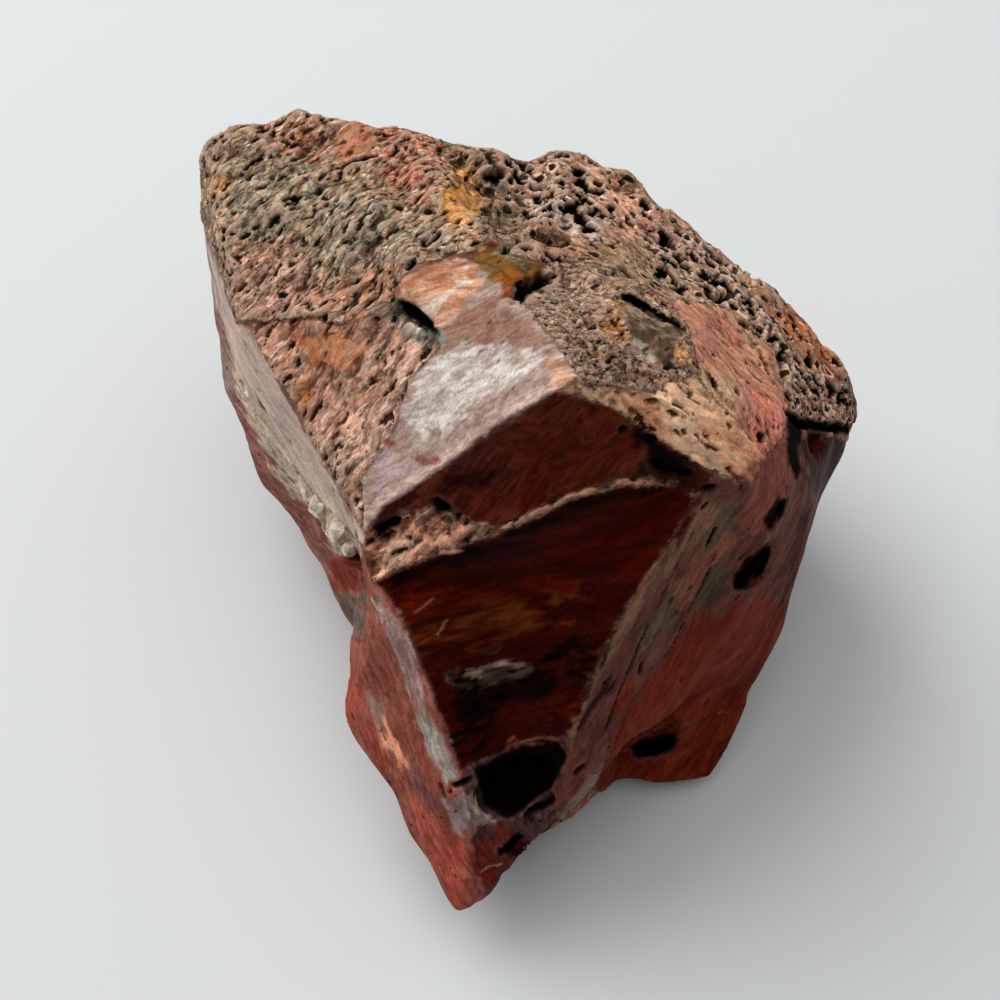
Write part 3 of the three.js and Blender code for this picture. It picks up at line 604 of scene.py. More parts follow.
def to_photo(points):
    """The pixels at which the photograph's camera sees points in millimetres."""
    away = points - EYE
    depth = away @ FORWARD
    across = PICTURE / 2 + FOCAL_PIXELS * (away @ RIGHT) / depth
    down = PICTURE / 2 - FOCAL_PIXELS * (away @ UP) / depth
    return np.stack([across, down], axis=1)


def sight_line(pixel):
    """The direction in which the camera sees a pixel."""
    across, down = pixel[0] - PICTURE / 2, pixel[1] - PICTURE / 2
    return Vector(unit(FORWARD * FOCAL_PIXELS + RIGHT * across - UP * down))


def place_on(tree, pixel):
    """The point of the stone seen at a pixel, and which way its surface faces. None beside the stone."""
    point, normal, _, _ = tree.ray_cast(Vector(EYE), sight_line(pixel))
    return (np.array(point), np.array(normal)) if point else None


def waves(points, seed):
    """Smooth noise with lumps one unit across, from about -1 to 1."""
    order = np.random.default_rng(seed).permutation(256)
    cell = np.floor(points).astype(int)
    part = points - cell
    ease = part ** 3 * (part * (part * 6 - 15) + 10)
    total = np.zeros(len(points))
    for corner in np.ndindex(2, 2, 2):
        x, y, z = ((cell + corner) % 256).T
        pick = order[(order[(order[x] + y) % 256] + z) % 256] % len(SLOPES)
        near = np.where(corner, ease, 1 - ease)
        rise = np.einsum("ij,ij->i", SLOPES[pick], part - corner)
        total += near[:, 0] * near[:, 1] * near[:, 2] * rise
    return total


def field(points, size, octaves=1, seed=0):
    """Noise with lumps of a size, and octaves - 1 finer layers on them."""
    total = np.zeros(len(points))
    for octave in range(octaves):
        finer = 2 ** octave
        total += waves(points / size * finer + 17.3 * octave, 10 * seed + octave) / finer
    return total


def depth_inside(all_pixels, outline, reach=40):
    """How many pixels deep inside an outline each pixel is, and negative outside it, to the reach."""
    corners = np.array(outline, float)
    low, high = corners.min(axis=0) - reach, corners.max(axis=0) + reach
    close = np.all((all_pixels > low) & (all_pixels < high), axis=1)
    depths = np.full(len(all_pixels), -float(reach))
    pixels = all_pixels[close]
    nearest = np.full(len(pixels), float(reach))
    crossings = np.zeros(len(pixels), int)
    for start, end in zip(corners, np.roll(corners, -1, axis=0)):
        edge = end - start
        along = np.clip(((pixels - start) @ edge) / (edge @ edge), 0, 1)
        nearest = np.minimum(nearest, lengths_of(pixels - start - along[:, None] * edge))
        spans = (start[1] > pixels[:, 1]) != (end[1] > pixels[:, 1])
        slope = edge[0] / edge[1] if edge[1] else 0.0
        crossings += spans & (pixels[:, 0] < start[0] + (pixels[:, 1] - start[1]) * slope)
    depths[close] = np.where(crossings % 2 == 1, nearest, -nearest)
    return depths


def distance_to_run(points, run):
    """How far points are from a run of straight stretches."""
    nearest = np.full(len(points), 1e9)
    ends = run[1:] if len(run) > 1 else run
    for start, end in zip(run, ends):
        edge = end - start
        along = np.clip(((points - start) @ edge) / max(edge @ edge, 1e-12), 0, 1)
        nearest = np.minimum(nearest, lengths_of(points - start - along[:, None] * edge))
    return nearest


def numbered_tree(points):
    tree = KDTree(len(points))
    for number, point in enumerate(points):
        tree.insert(Vector(point), number)
    tree.balance()
    return tree


class Surface:
    """The fine mesh of the stone: its points in millimetres and its four-sided cells."""

    def __init__(self, mesh):
        points = np.empty(len(mesh.vertices) * 3)
        mesh.vertices.foreach_get("co", points)
        corners = np.empty(len(mesh.loops), int)
        mesh.loops.foreach_get("vertex_index", corners)
        self.points = points.reshape(-1, 3) / MM
        self.cells = corners.reshape(-1, 4)
        self.starts = self.cells.ravel()
        self.ends = np.roll(self.cells, -1, axis=1).ravel()
        self.normals = self.find_normals()

    def cell_normals(self):
        first, second, third, fourth = self.points[self.cells.T]
        return np.cross(third - first, fourth - second)

    def gather(self, values):
        """Sums a value given for each corner of each cell onto the points."""
        return np.stack([np.bincount(self.starts, column, len(self.points)) for column in values.T], axis=1)

    def find_normals(self):
        return unit(self.gather(np.repeat(self.cell_normals(), 4, axis=0)))

    def neighbours_mean(self, values):
        """For each point, the mean of a value over its neighbours."""
        total = self.gather(np.column_stack([values[self.ends], np.ones(len(self.ends))]))
        return total[:, :-1] / np.maximum(total[:, -1:], 1)

    def cells_beside(self):
        """For each side of each cell, the number of the cell across it."""
        count = len(self.points)
        sides = self.starts * count + self.ends
        order = np.argsort(sides)
        found = np.searchsorted(sides[order], self.ends * count + self.starts)
        return (order[np.minimum(found, len(order) - 1)] // 4).reshape(-1, 4)

    def smooth(self):
        """Rounds off the facets of the solid and keeps the sharp edges between the stone's faces."""
        beside = self.cells_beside()
        wanted = unit(self.cell_normals())
        for _ in range(FACING_ROUNDS):
            others = wanted[beside]
            apart = 2 - 2 * np.einsum("ijk,ik->ij", others, wanted)
            weights = np.exp(-apart / (2 * CREASE_SOFTNESS ** 2))
            wanted = unit(wanted + np.einsum("ij,ijk->ik", weights, others))
        shared = self.gather(np.ones((len(self.starts), 1)))
        held = self.points[:, 2:] < HELD_HEIGHT
        for _ in range(FITTING_ROUNDS):
            corners = self.points[self.cells]
            heights = np.einsum("ijk,ik->ij", corners, wanted)
            gap = heights.mean(axis=1, keepdims=True) - heights
            moves = (gap[:, :, None] * wanted[:, None]).reshape(-1, 3)
            self.points += np.where(held, 0, self.gather(moves) / shared)
        self.normals = self.find_normals()

    def even_out(self, chosen, rounds):
        """Evens out dents within the chosen points."""
        inner = chosen[self.starts]
        starts, ends = self.starts[inner], self.ends[inner]
        numbers, places = np.unique(starts, return_inverse=True)
        shared = np.bincount(places)[:, None]
        for _ in range(rounds):
            sums = [np.bincount(places, column) for column in self.points[ends].T]
            means = np.stack(sums, axis=1) / shared
            self.points[numbers] = means * EVENING + self.points[numbers] * (1 - EVENING)
        self.normals = self.find_normals()

    def tree(self):
        """Answers where sight lines meet the surface."""
        return BVHTree.FromPolygons(self.points.tolist(), self.cells.tolist())

    def hollowness(self):
        """How far each point lies under the mean of its neighbourhood, in millimetres."""
        even = self.points
        for _ in range(HOLLOW_ROUNDS):
            even = self.neighbours_mean(even)
        return np.sum((even - self.points) * self.normals, axis=1)


def fine_mesh(node):
    """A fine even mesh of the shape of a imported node."""
    copy = bpy.data.objects.new("fine", node.data.copy())
    bpy.context.scene.collection.objects.link(copy)
    weld = copy.modifiers.new("weld", "WELD")
    weld.merge_threshold = WELD_REACH * MM
    remesh = copy.modifiers.new("remesh", "REMESH")
    remesh.mode = "VOXEL"
    remesh.voxel_size = VOXEL * MM
    remesh.adaptivity = 0
    shaped_copy = copy.evaluated_get(bpy.context.evaluated_depsgraph_get())
    mesh = bpy.data.meshes.new_from_object(shaped_copy)
    bpy.data.objects.remove(copy)
    return mesh


def seen_points(surface, tree):
    """Says of each point whether the photograph's camera sees it."""
    towards = unit(EYE - surface.points)
    facing = np.sum(towards * surface.normals, axis=1) > LEAST_FACING
    starts = surface.points + RAY_OFF_SURFACE * surface.normals + RAY_TO_CAMERA * towards
    seen = np.zeros(len(surface.points), bool)
    for i in np.flatnonzero(facing):
        seen[i] = tree.ray_cast(Vector(starts[i]), Vector(towards[i]))[0] is None
    return seen


def nearest_seen(surface, seen):
    """For each point, the number of the nearest seen one, and how much of its looks carries over."""
    numbers = np.flatnonzero(seen)
    tree = numbered_tree(surface.points[numbers])
    source = np.arange(len(surface.points))
    share = np.ones(len(surface.points))
    for i in np.flatnonzero(~seen):
        _, nearest, distance = tree.find(Vector(surface.points[i]))
        source[i] = numbers[nearest]
        share[i] = math.exp(-(distance / CARRY) ** 2)
    return source, share


def flow_axes(tree, face):
    """The way a face's streaks run, the way across them, and out of the face, as columns."""
    if "streak" in face:
        start, end = (place_on(tree, pixel) for pixel in face["streak"])
        out = unit(start[1] + end[1])
        along = unit(end[0] - start[0])
    else:
        out, along = unit(face["out"]), unit(face["along"])
    along = unit(along - out * (along @ out))
    return np.stack([along, np.cross(out, along), out], axis=1)


class Looks:
    """What is known of each point of the surface: its faces, its colours and its finish."""

    def __init__(self, surface, tree):
        self.points = surface.points.copy()
        self.seen = seen_points(surface, tree)
        source, self.carried = nearest_seen(surface, self.seen)
        self.pixels = to_photo(self.points[source])
        self.wobble = field(self.points, 0.9, 3, seed=3)
        self.share_out()
        self.find_flow(tree)
        self.ragged = field(self.flow, 1.1, 4, seed=5)
        self.broken = field(self.flow, 0.5, 3, seed=6)
        self.colour_faces()
        self.crowd_bubbles()
        self.lay_patches()
        self.stain()

    def inside(self, outline, shift, soft):
        """How much of each point lies inside an outline with an uneven, soft edge."""
        depth = depth_inside(self.pixels, outline) + shift * self.wobble
        return smooth_step(0.5 + depth / soft)

    def share_out(self):
        """Gives each face its share of each point, and the unseen the rest."""
        left = np.ones(len(self.points))
        self.shares = {}
        for name, face in FACES.items():
            self.shares[name] = np.minimum(self.inside(face["outline"], *FACE_EDGE), left)
            left = left - self.shares[name]
        for name in FACES:
            self.shares[name] = self.shares[name] * self.carried
        self.shares["unseen"] = 1 - sum(self.shares.values())

    def find_flow(self, tree):
        """Each point's place along its face's streaks, squeezed, across them and out of the face."""
        winner = np.argmax(list(self.shares.values()), axis=0)
        self.flow = np.zeros_like(self.points)
        for number, face in enumerate(LOOKS_OF.values()):
            chosen = winner == number
            self.flow[chosen] = self.points[chosen] @ flow_axes(tree, face)
            self.flow[chosen, 0] /= STYLES[face["style"]]["stretch"]

    def colour_faces(self):
        count = len(self.points)
        self.colour = np.zeros((count, 3))
        self.streaks = np.zeros((count, 3))
        self.finish = {name: np.zeros(count) for name in ("granular", "gloss", "streaky", "bubbly")}
        for name, face in LOOKS_OF.items():
            share = self.shares[name]
            self.colour += share[:, None] * colour_of(face["colour"])
            self.streaks += share[:, None] * colour_of(face["streaks"])
            for key in self.finish:
                self.finish[key] += share * STYLES[face["style"]][key]

    def tint(self, share, colour, streaks):
        share = share[:, None]
        self.colour += share * (colour_of(colour) - self.colour)
        self.streaks += share * (colour_of(streaks) - self.streaks)

    def calm_patches(self):
        """How much of each point lies in a smooth patch, with the finish made smooth there."""
        calm = np.zeros(len(self.points))
        for outline in CALM.values():
            calm = np.maximum(calm, self.inside(outline, *CALM_EDGE) * self.carried)
        self.finish["granular"] *= 1 - 0.9 * calm
        self.finish["gloss"] = np.maximum(self.finish["gloss"], 0.7 * calm)
        return calm

    def crowd_bubbles(self):
        """Thins out the bubbles away from where they crowd."""
        crowded = np.zeros(len(self.points))
        for outline in CROWDS.values():
            crowded = np.maximum(crowded, self.inside(outline, *CROWD_EDGE))
        self.finish["bubbly"] *= THIN + (1 - THIN) * crowded

    def blacken(self, dark):
        """Marks the places in deep shade."""
        for outline, soft in SHADES.values():
            dark[:] = np.maximum(dark, self.inside(outline, SHADE_SHIFT, soft) * self.carried)

    def lay_patches(self):
        """Colours what the camera doesn't see in patches with torn edges."""
        for size, least, colour, streaks in PATCHES:
            patch = field(self.flow, size, 4, seed=int(10 * size))
            share = smooth_step((patch + PATCH_TEAR * self.ragged - least) / PATCH_SOFTNESS)
            self.tint(share * self.shares["unseen"], colour, streaks)

    def stain(self):
        """Lays the coloured areas on the faces, a few of them painted light and shade, torn at their edges
        and broken by the grain.
        """
        unbroken = np.clip(0.9 + self.broken * (0.3 + self.finish["granular"]), 0, 1)
        for outline, colour, streaks, soft in STAINS.values():
            depth = depth_inside(self.pixels, outline) + STAIN_TEAR * soft * self.ragged
            share = smooth_step(0.5 + depth / soft) * self.carried
            self.tint(share * unbroken, colour, streaks)


def shaped(kind, values):
    """Turns smooth noise into lumps with creases between them, into broken steps, or leaves it."""
    if kind == "lumpy":
        return 2.4 * np.abs(values) - 0.45
    if kind == "stepped":
        steps = values * 4
        whole = np.floor(steps)
        return (whole + smooth_step(3 * (steps - whole) - 2)) / 4
    return values


def face_relief(flow, style, number):
    """The height of one face's grain, and how much of each point lies in a pit of it."""
    flow[:, 0] /= style["stretch"]
    height = np.zeros(len(flow))
    for layer, (size, amount) in enumerate(style["layers"]):
        height += amount * shaped(style["kind"], field(flow, size, 2, seed=40 + 3 * number + layer))
    size, least, deep = style["pits"]
    pit = smooth_step((field(flow, size, 2, seed=90 + number) - least) / PIT_EDGE)
    return height - deep * pit, pit


def relief(looks, tree, dark):
    """The height of the stone's grain over its smoothed surface. Pits get painted shade."""
    height = np.zeros(len(looks.points))
    bent = np.stack([field(looks.points, BEND_SIZE, 2, seed) for seed in (31, 32, 33)], axis=1)
    for number, (name, face) in enumerate(LOOKS_OF.items()):
        style = STYLES[face["style"]]
        chosen = looks.shares[name] > LEAST_SHARE
        share = looks.shares[name][chosen]
        places = looks.points[chosen] + BENDS[style["kind"]] * bent[chosen]
        own, pit = face_relief(places @ flow_axes(tree, face), style, number)
        height[chosen] += share * own
        # Painted shade in the pits.
        dark[chosen] = np.maximum(dark[chosen], PIT_SHADE * share * pit)
    return height * (1 - CALMING * looks.calm_patches())


def strew_bubbles(looks):
    """The middles and the radii of the strewn bubbles."""
    dice = np.random.default_rng(BUBBLES["seed"])
    count = BUBBLES["count"]
    chance = looks.finish["bubbly"] ** 2
    chosen = dice.choice(len(looks.points), count, replace=False, p=chance / chance.sum())
    spread = dice.random(count) ** BUBBLES["bias"]
    return looks.points[chosen], BUBBLES["small"] + (BUBBLES["large"] - BUBBLES["small"]) * spread


def carve_bubbles(looks, height, dark):
    """Sinks the strewn bubbles into the bubbly faces' relief, with pale rims and painted shade in the holes.
    """
    holes = np.zeros(len(looks.points))
    rims = np.zeros(len(looks.points))
    tree = numbered_tree(looks.points)
    for middle, radius in zip(*strew_bubbles(looks)):
        for _, i, distance in tree.find_range(Vector(middle), BUBBLES["rim_reach"] * radius):
            inner = max(distance / radius + BUBBLES["uneven"] * looks.wobble[i], 0)
            if inner < 1:
                holes[i] = max(holes[i], radius * math.sqrt(1 - inner ** 2))
                # Painted shade in the hole.
                dark[i] = max(dark[i], min(1.0, 5 * (1 - inner)))
            rims[i] = max(rims[i], min(1.0, 4 - 3 * inner))
    rims *= holes == 0
    height += BUBBLES["rim_rise"] * rims - BUBBLES["depth"] * holes
    strength = smooth_step(looks.finish["bubbly"]) * BUBBLES["rim_strength"]
    looks.tint(rims * strength, BUBBLES["rim"], BUBBLES["rim"])


def run_distance(looks, tree, pixels, width):
    """How far each point is from a run of pixels on the stone, in half widths of the run."""
    pixel_size = (EYE[2] - MIDDLE_HEIGHT) / math.sin(CAMERA_ELEVATION) / FOCAL_PIXELS
    found = [place_on(tree, pixel) for pixel in pixels]
    places = np.array([place[0] for place in found if place])
    radius = 0.5 * width * pixel_size
    return distance_to_run(looks.points, places) / radius + RUN_WOBBLE * looks.wobble


def carve_hollows(looks, tree, height, dark):
    """Sinks the hollows that the photograph shows, and paints shade in them."""
    for run, width, depth in HOLLOWS.values():
        distance = run_distance(looks, tree, run, width)
        height -= depth * smooth_step(HOLLOW_REACH - distance)
        # Painted shade in the hollows.
        dark[:] = np.maximum(dark, smooth_step(HOLLOW_SHADE * (1 - distance)))


def raise_threads(looks, tree, height):
    """Raises the pale threads and edges, and colours them; the facet's crest gets a painted highlight."""
    for run, width, rise, colour in THREADS.values():
        share = smooth_step(THREAD_REACH - run_distance(looks, tree, run, width))
        height += rise * share
        looks.tint(share * THREAD_STRENGTH, colour, colour)


def keep_attribute(mesh, name, kind, key, values):
    attribute = mesh.attributes.new(name, kind, "POINT")
    attribute.data.foreach_set(key, np.ascontiguousarray(values, np.float32).ravel())


def make_piece(name, surface, looks, chosen, values):
    """One piece of the stone: the chosen cells of the fine mesh, with what the material reads."""
    cells = surface.cells[chosen]
    used, packed = np.unique(cells, return_inverse=True)
    mesh = bpy.data.meshes.new(name)
    mesh.from_pydata((surface.points[used] * MM).tolist(), [], packed.reshape(-1, 4).tolist())
    mesh.polygons.foreach_set("use_smooth", np.ones(len(mesh.polygons), bool))
    opaque = np.ones((len(used), 1))
    keep_attribute(mesh, "paint", "FLOAT_COLOR", "color", np.hstack([looks.colour[used], opaque]))
    keep_attribute(mesh, "streak_paint", "FLOAT_COLOR", "color", np.hstack([looks.streaks[used], opaque]))
    keep_attribute(mesh, "flow", "FLOAT_VECTOR", "vector", looks.flow[used])
    for key, column in values.items():
        keep_attribute(mesh, key, "FLOAT", "value", column[used])
    mesh.normals_split_custom_set_from_vertices(surface.normals[used].tolist())
    piece = bpy.data.objects.new(name, mesh)
    bpy.context.scene.collection.objects.link(piece)
    return piece


def roughen(surface, looks, tree):
    """Gives the surface its relief, and says how much painted shade each point gets."""
    dark = np.zeros(len(surface.points))
    height = relief(looks, tree, dark)
    looks.blacken(dark)
    carve_bubbles(looks, height, dark)
    carve_hollows(looks, tree, height, dark)
    raise_threads(looks, tree, height)
    lifted = smooth_step((surface.points[:, 2] - FLAT_SPOT) / FLAT_BAND)
    surface.points += (height * lifted)[:, None] * surface.normals
    surface.points[:, 2] = np.maximum(surface.points[:, 2], 0)
    surface.normals = surface.find_normals()
    return dark


def build_stone(node):
    """The dressed stone in pieces that meet without a gap, and its sight lines."""
    surface = Surface(fine_mesh(node))
    surface.smooth()
    tree = surface.tree()
    looks = Looks(surface, tree)
    for name, rounds in EVEN_ROUNDS.items():
        surface.even_out(looks.shares[name] > EVEN_SHARE, rounds)
    dark = roughen(surface, looks, tree)
    values = {"dark": dark, "crevice": surface.hollowness(), **looks.finish}
    depth = surface.points[surface.cells, 1].mean(axis=1)
    limits = np.quantile(depth, np.linspace(0, 1, PIECES + 1)[1:-1])
    part = np.searchsorted(limits, depth)
    pieces = [make_piece(f"jasper_stone_{k + 1}", surface, looks, part == k, values)
              for k in range(PIECES)]
    return pieces, surface.tree()


class Nodes:
    """Short ways to make and join the nodes of one material."""

    def __init__(self, name):
        self.material = bpy.data.materials.new(name)
        self.material.use_nodes = True
        self.tree = self.material.node_tree
        self.shader = self.tree.nodes["Principled BSDF"]

    def put(self, socket, value):
        if isinstance(value, bpy.types.NodeSocket):
            self.tree.links.new(value, socket)
        else:
            socket.default_value = value

    def attribute(self, name, output="Fac"):
        node = self.tree.nodes.new("ShaderNodeAttribute")
        node.attribute_name = name
        return node.outputs[output]

    def place(self, scale):
        """The place on the object, in units of 1 / scale metres."""
        coordinates = self.tree.nodes.new("ShaderNodeTexCoord")
        node = self.tree.nodes.new("ShaderNodeVectorMath")
        node.operation = "SCALE"
        self.put(node.inputs[0], coordinates.outputs["Object"])
        self.put(node.inputs["Scale"], scale)
        return node.outputs[0]

    def noise(self, vector, scale, detail=3.0, roughness=0.6):
        node = self.tree.nodes.new("ShaderNodeTexNoise")
        self.put(node.inputs["Vector"], vector)
        self.put(node.inputs["Scale"], scale)
        self.put(node.inputs["Detail"], detail)
        self.put(node.inputs["Roughness"], roughness)
        return node.outputs["Fac"]

    def warp(self, vector, scale, amount):
        """Places shifted about by noise."""
        noise = self.tree.nodes.new("ShaderNodeTexNoise")
        self.put(noise.inputs["Vector"], vector)
        self.put(noise.inputs["Scale"], scale)
        shift = self.tree.nodes.new("ShaderNodeVectorMath")
        shift.operation = "MULTIPLY_ADD"
        for socket, value in zip(shift.inputs, (noise.outputs["Color"], (amount,) * 3, vector)):
            self.put(socket, value)
        return shift.outputs[0]

    def chips(self, vector, scale, output="Distance", feature="F1"):
        """Angular cells: the distance from the middle of each, or from its edge, or a colour of its own."""
        node = self.tree.nodes.new("ShaderNodeTexVoronoi")
        node.feature = feature
        self.put(node.inputs["Vector"], vector)
        self.put(node.inputs["Scale"], scale)
        return node.outputs[output]

    def math(self, operation, *values, clamp=False):
        node = self.tree.nodes.new("ShaderNodeMath")
        node.operation = operation
        node.use_clamp = clamp
        for socket, value in zip(node.inputs, values):
            self.put(socket, value)
        return node.outputs[0]

    def times(self, first, second):
        return self.math("MULTIPLY", first, second)

    def plus(self, first, second):
        return self.math("ADD", first, second)

    def ramp(self, value, low, high, to_low=0.0, to_high=1.0):
        """A smooth ramp of a value between two limits."""
        node = self.tree.nodes.new("ShaderNodeMapRange")
        node.interpolation_type = "SMOOTHSTEP"
        for key, number in (("Value", value), ("From Min", low), ("From Max", high), ("To Min", to_low),
                            ("To Max", to_high)):
            self.put(node.inputs[key], number)
        return node.outputs["Result"]

    def mix(self, share, first, second, blend="MIX"):
        node = self.tree.nodes.new("ShaderNodeMix")
        node.data_type = "RGBA"
        node.blend_type = blend
        for key, value in (("Factor", share), ("A", first), ("B", second)):
            sockets = [s for s in node.inputs if s.name == key and s.enabled]
            self.put(sockets[0], value)
        return next(s for s in node.outputs if s.enabled)

    def bump(self, height, strength, distance):
        node = self.tree.nodes.new("ShaderNodeBump")
        self.put(node.inputs["Height"], height)
        self.put(node.inputs["Strength"], strength)
        self.put(node.inputs["Distance"], distance)
        return node.outputs["Normal"]


def plain(text):
    return (*colour_of(text), 1)


def banded_colour(nodes, places, threads, streaky):
    """The stone's colour with its streaks and a fine tone."""
    bands = nodes.plus(nodes.times(nodes.noise(places, BAND_NOISE), 0.7), nodes.times(threads, 0.3))
    share = nodes.times(nodes.ramp(bands, *BAND_RAMP), streaky)
    colour = nodes.mix(share, nodes.attribute("paint", "Color"), nodes.attribute("streak_paint", "Color"))
    speckles = nodes.noise(nodes.place(1 / MM), SPECKLE_NOISE, 2)
    fine = nodes.plus(nodes.times(threads, 0.6), nodes.times(speckles, 0.4))
    return nodes.mix(1.0, colour, nodes.ramp(fine, *BAND_RAMP, *TONES), "MULTIPLY")


def add_grains(nodes, colour, places, granular):
    """Grains of other colours, in the granular faces only; the palest are partly painted glints and the
    darkest are painted shade in tiny pits.
    """
    grainy = nodes.ramp(granular, *GRAINY_RAMP)
    for scale, low, high, strength, tint in GRAIN_TINTS:
        share = nodes.ramp(nodes.noise(places, scale, 3, 0.62), low, high, 0, strength)
        colour = nodes.mix(nodes.times(share, grainy), colour, plain(tint))
    return colour


def add_chips(nodes, colour, places, granular):
    """The mosaic of chips, with tones partly their own and partly painted light and shade, and painted shade
    in the gaps between them.
    """
    for scale, gap_shade, contrast in CHIPS:
        own = nodes.chips(places, scale, "Color")
        gap = nodes.chips(places, scale, feature="DISTANCE_TO_EDGE")
        # Chip tones: partly their own colour, partly painted light and shade.
        tone = nodes.ramp(own, *CHIP_RAMP, 1 - contrast, 1 + 1.3 * contrast)
        # Painted shade in the gaps between chips.
        edge = nodes.ramp(nodes.ramp(gap, 0, CHIP_GAP), 0, 1, gap_shade, 1.06)
        colour = nodes.mix(granular, colour, nodes.times(tone, edge), "MULTIPLY")
    return colour


def add_vesicles(nodes, colour, places, bubbly):
    """The colour with the tiny vesicles' pale rims, and where their holes are."""
    distance = nodes.chips(places, VESICLES)
    crowd = nodes.plus(nodes.chips(places, VESICLES, "Color"), nodes.times(bubbly, 0.6))
    chosen = nodes.ramp(crowd, *CHOSEN_RAMP)
    hole = nodes.times(chosen, nodes.ramp(distance, *HOLE_RAMP, 1, 0))
    ring = nodes.times(nodes.ramp(distance, *RING_START), nodes.ramp(distance, *RING_END, 1, 0))
    strength = nodes.ramp(bubbly, *RING_RAMP, *RING_STRENGTHS)
    share = nodes.times(nodes.times(chosen, ring), strength)
    return nodes.mix(share, colour, plain(BUBBLES["rim"])), hole


def add_shade(nodes, colour, granular, dark, hole):
    """Paints shade in the creases, pales the ridges partly for dust and wear and partly as a painted
    highlight, and paints near black what is in deep shade and in the vesicle holes.
    """
    crevice = nodes.attribute("crevice")
    # Painted shade in the creases.
    depth = nodes.ramp(crevice, *CREASE_SHADE_RAMP)
    crease_shade = nodes.times(depth, nodes.plus(0.25, nodes.times(granular, 0.6)))
    colour = nodes.mix(crease_shade, colour, plain(CREASE_SHADE_COLOUR))
    # Ridges paled, partly for dust and wear and partly as a painted highlight.
    ridge = nodes.times(nodes.ramp(crevice, *RIDGE_RAMP), nodes.times(granular, 0.4))
    colour = nodes.mix(ridge, colour, plain(RIDGE_COLOUR))
    # Painted near black: deep shade and the vesicle holes.
    black = nodes.math("MAXIMUM", dark, nodes.times(hole, 0.9))
    return nodes.mix(black, colour, plain(SHADE_COLOUR))


def jasper_material():
    nodes = Nodes("jasper_stone")
    granular = nodes.attribute("granular")
    streaky = nodes.attribute("streaky")
    bubbly = nodes.attribute("bubbly")
    dark = nodes.attribute("dark")
    places = nodes.warp(nodes.attribute("flow", "Vector"), WARP_NOISE, WARP)
    threads = nodes.noise(places, THREAD_NOISE)
    grains = nodes.noise(places, GRAIN_NOISE, 3, 0.65)

    colour = banded_colour(nodes, places, threads, streaky)
    colour = add_grains(nodes, colour, places, granular)
    colour = add_chips(nodes, colour, places, granular)
    colour, hole = add_vesicles(nodes, colour, places, bubbly)
    colour = add_shade(nodes, colour, granular, dark, hole)
    nodes.put(nodes.shader.inputs["Base Color"], colour)

    polish = nodes.ramp(nodes.attribute("gloss"), 0, 1, *ROUGHNESS)
    roughness = nodes.plus(polish, nodes.times(nodes.math("SUBTRACT", grains, 0.5), GRAIN_ROUGHNESS))
    roughness = nodes.math("ADD", roughness, nodes.times(dark, SHADE_ROUGHNESS), clamp=True)
    nodes.put(nodes.shader.inputs["Roughness"], roughness)
    nodes.put(nodes.shader.inputs["IOR"], REFRACTION)
    nodes.put(nodes.shader.inputs["Specular IOR Level"], REFLECTION)

    drawn = nodes.times(threads, nodes.times(streaky, STREAK_BUMP))
    heights = nodes.plus(nodes.times(grains, granular), drawn)
    nodes.put(nodes.shader.inputs["Normal"], nodes.bump(heights, 1.0, BUMP * MM))
    return nodes.material


def quartz_material():
    nodes = Nodes("quartz_points")
    place = nodes.place(1 / MM)
    cloud = nodes.ramp(nodes.noise(place, 1.6, 4, 0.6), 0.38, 0.62)
    colour = nodes.mix(cloud, plain("#a08b76"), plain("#e2d9c8"))
    nodes.put(nodes.shader.inputs["Base Color"], colour)
    nodes.put(nodes.shader.inputs["Roughness"], 0.3)
    nodes.put(nodes.shader.inputs["IOR"], REFRACTION)
    nodes.put(nodes.shader.inputs["Normal"], nodes.bump(nodes.noise(place, 4.0), 0.3, 0.15 * MM))
    return nodes.material


def quartz_point(radius, length):
    """The corners and faces of a six-sided point that stands on the origin along +Z."""
    ring = [(radius * math.cos(math.pi * k / 3), radius * math.sin(math.pi * k / 3)) for k in range(6)]
    half = 0.5 * length
    corners = [(x, y, -half) for x, y in ring] + [(x, y, half) for x, y in ring]
    corners.append((0, 0, half + QUARTZ_END * radius))
    faces = [[k, (k + 1) % 6, 6 + (k + 1) % 6, 6 + k] for k in range(6)]
    faces += [[6 + k, 6 + (k + 1) % 6, 12] for k in range(6)]
    faces.append([5, 4, 3, 2, 1, 0])
    return np.array(corners), faces


def build_quartz(tree):
    """The quartz points in the seam, each leaning its own way, as one mesh."""
    dice = np.random.default_rng(QUARTZ_SEED)
    top, bottom = (place_on(tree, pixel)[0] for pixel in SEAM)
    along = unit(bottom - top)
    corners, faces = [], []
    for pixel, radius, length in QUARTZ:
        point, normal = place_on(tree, pixel)
        axis = unit(QUARTZ_OUT * normal + dice.choice([-1, 1]) * along + dice.normal(0, QUARTZ_SPREAD, 3))
        turn = Vector(axis).to_track_quat("Z", "Y").to_matrix()
        shape, sides = quartz_point(radius, length)
        placed = shape @ np.array(turn).T + point - QUARTZ_SUNK * radius * normal
        faces += [[k + len(corners) for k in side] for side in sides]
        corners += (placed * MM).tolist()
    mesh = bpy.data.meshes.new("quartz_points")
    mesh.from_pydata(corners, [], faces)
    piece = bpy.data.objects.new("quartz_points", mesh)
    bpy.context.scene.collection.objects.link(piece)
    return piece


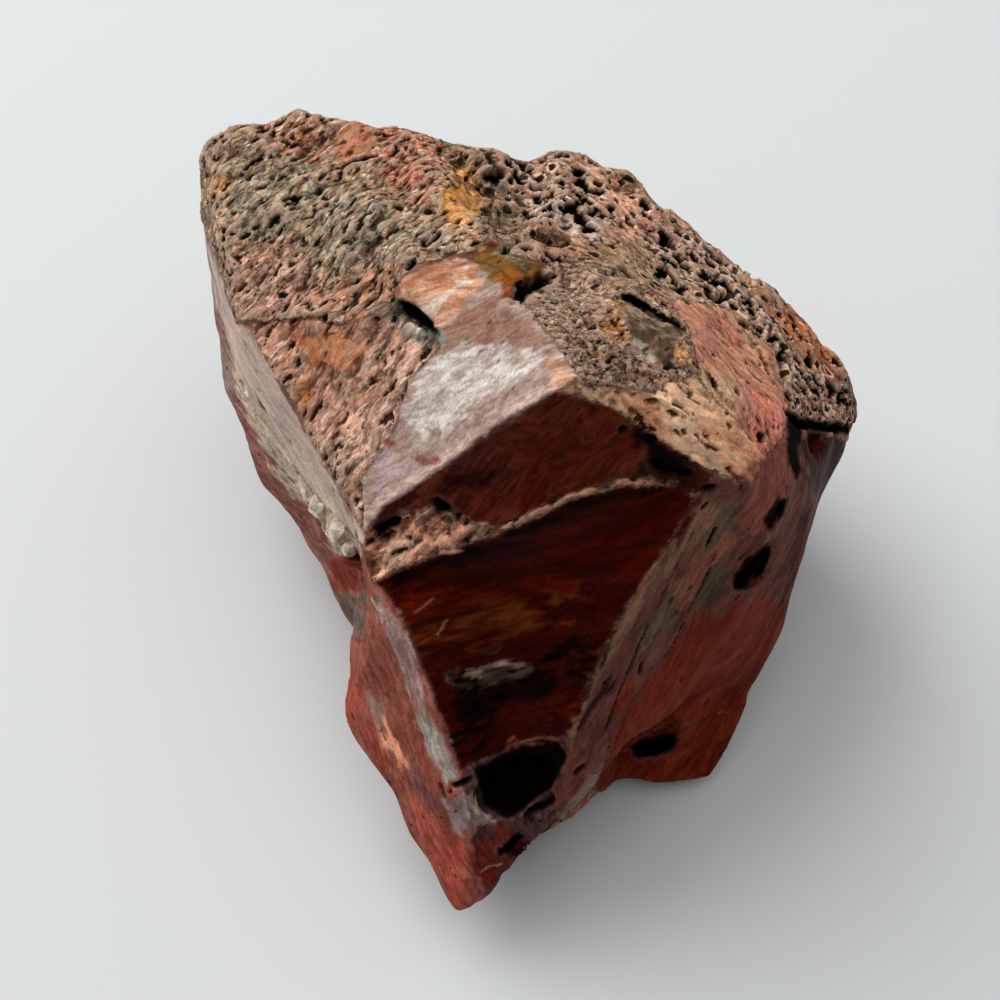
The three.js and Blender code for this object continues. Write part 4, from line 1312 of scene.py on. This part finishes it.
def add_floor():
    mesh = bpy.data.meshes.new("floor")
    half = FLOOR_HALF
    corners = [(-half, -half, 0), (half, -half, 0), (half, half, 0), (-half, half, 0)]
    mesh.from_pydata(corners, [], [[0, 1, 2, 3]])
    floor = bpy.data.objects.new("floor", mesh)
    bpy.context.scene.collection.objects.link(floor)
    nodes = Nodes("floor")
    nodes.put(nodes.shader.inputs["Base Color"], plain(FLOOR_COLOUR))
    nodes.put(nodes.shader.inputs["Roughness"], 0.9)
    mesh.materials.append(nodes.material)


def add_light(name, place, size, power, colour):
    data = bpy.data.lights.new(name, "AREA")
    data.size = size
    data.energy = power
    data.color = colour
    light = bpy.data.objects.new(name, data)
    light.location = place
    light.rotation_mode = "QUATERNION"
    light.rotation_quaternion = (Vector(LIT_POINT) - Vector(place)).to_track_quat("-Z", "Y")
    bpy.context.scene.collection.objects.link(light)


def add_world(strength):
    world = bpy.data.worlds.new("studio")
    world.use_nodes = True
    background = world.node_tree.nodes["Background"]
    background.inputs["Color"].default_value = (1.0, 0.98, 0.95, 1)
    background.inputs["Strength"].default_value = strength
    bpy.context.scene.world = world


def add_camera():
    data = bpy.data.cameras.new("camera")
    data.sensor_width = SENSOR
    data.lens = SENSOR * FOCAL_PIXELS / PICTURE
    data.clip_start = 0.005
    camera = bpy.data.objects.new("camera", data)
    camera.location = Vector(EYE * MM)
    camera.rotation_mode = "QUATERNION"
    camera.rotation_quaternion = Vector(FORWARD).to_track_quat("-Z", "Y")
    bpy.context.scene.collection.objects.link(camera)
    bpy.context.scene.camera = camera


stone_pieces, stone_tree = build_stone(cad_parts["jasper"])
stone_material = jasper_material()
for stone_piece in stone_pieces:
    stone_piece.data.materials.append(stone_material)
    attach(stone_piece, "root")
    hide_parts("jasper")

quartz = build_quartz(stone_tree)
quartz.data.materials.append(quartz_material())
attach(quartz, "root")

add_floor()
add_light("window", (-0.42, 0.38, 0.55), size=0.7, power=5.6, colour=(1.0, 0.98, 0.95))
add_light("ceiling", (0.05, 0.15, 0.9), size=1.3, power=5.0, colour=(1.0, 0.98, 0.94))
add_world(strength=0.2)
add_camera()
bpy.context.scene.view_settings.view_transform = "Standard"
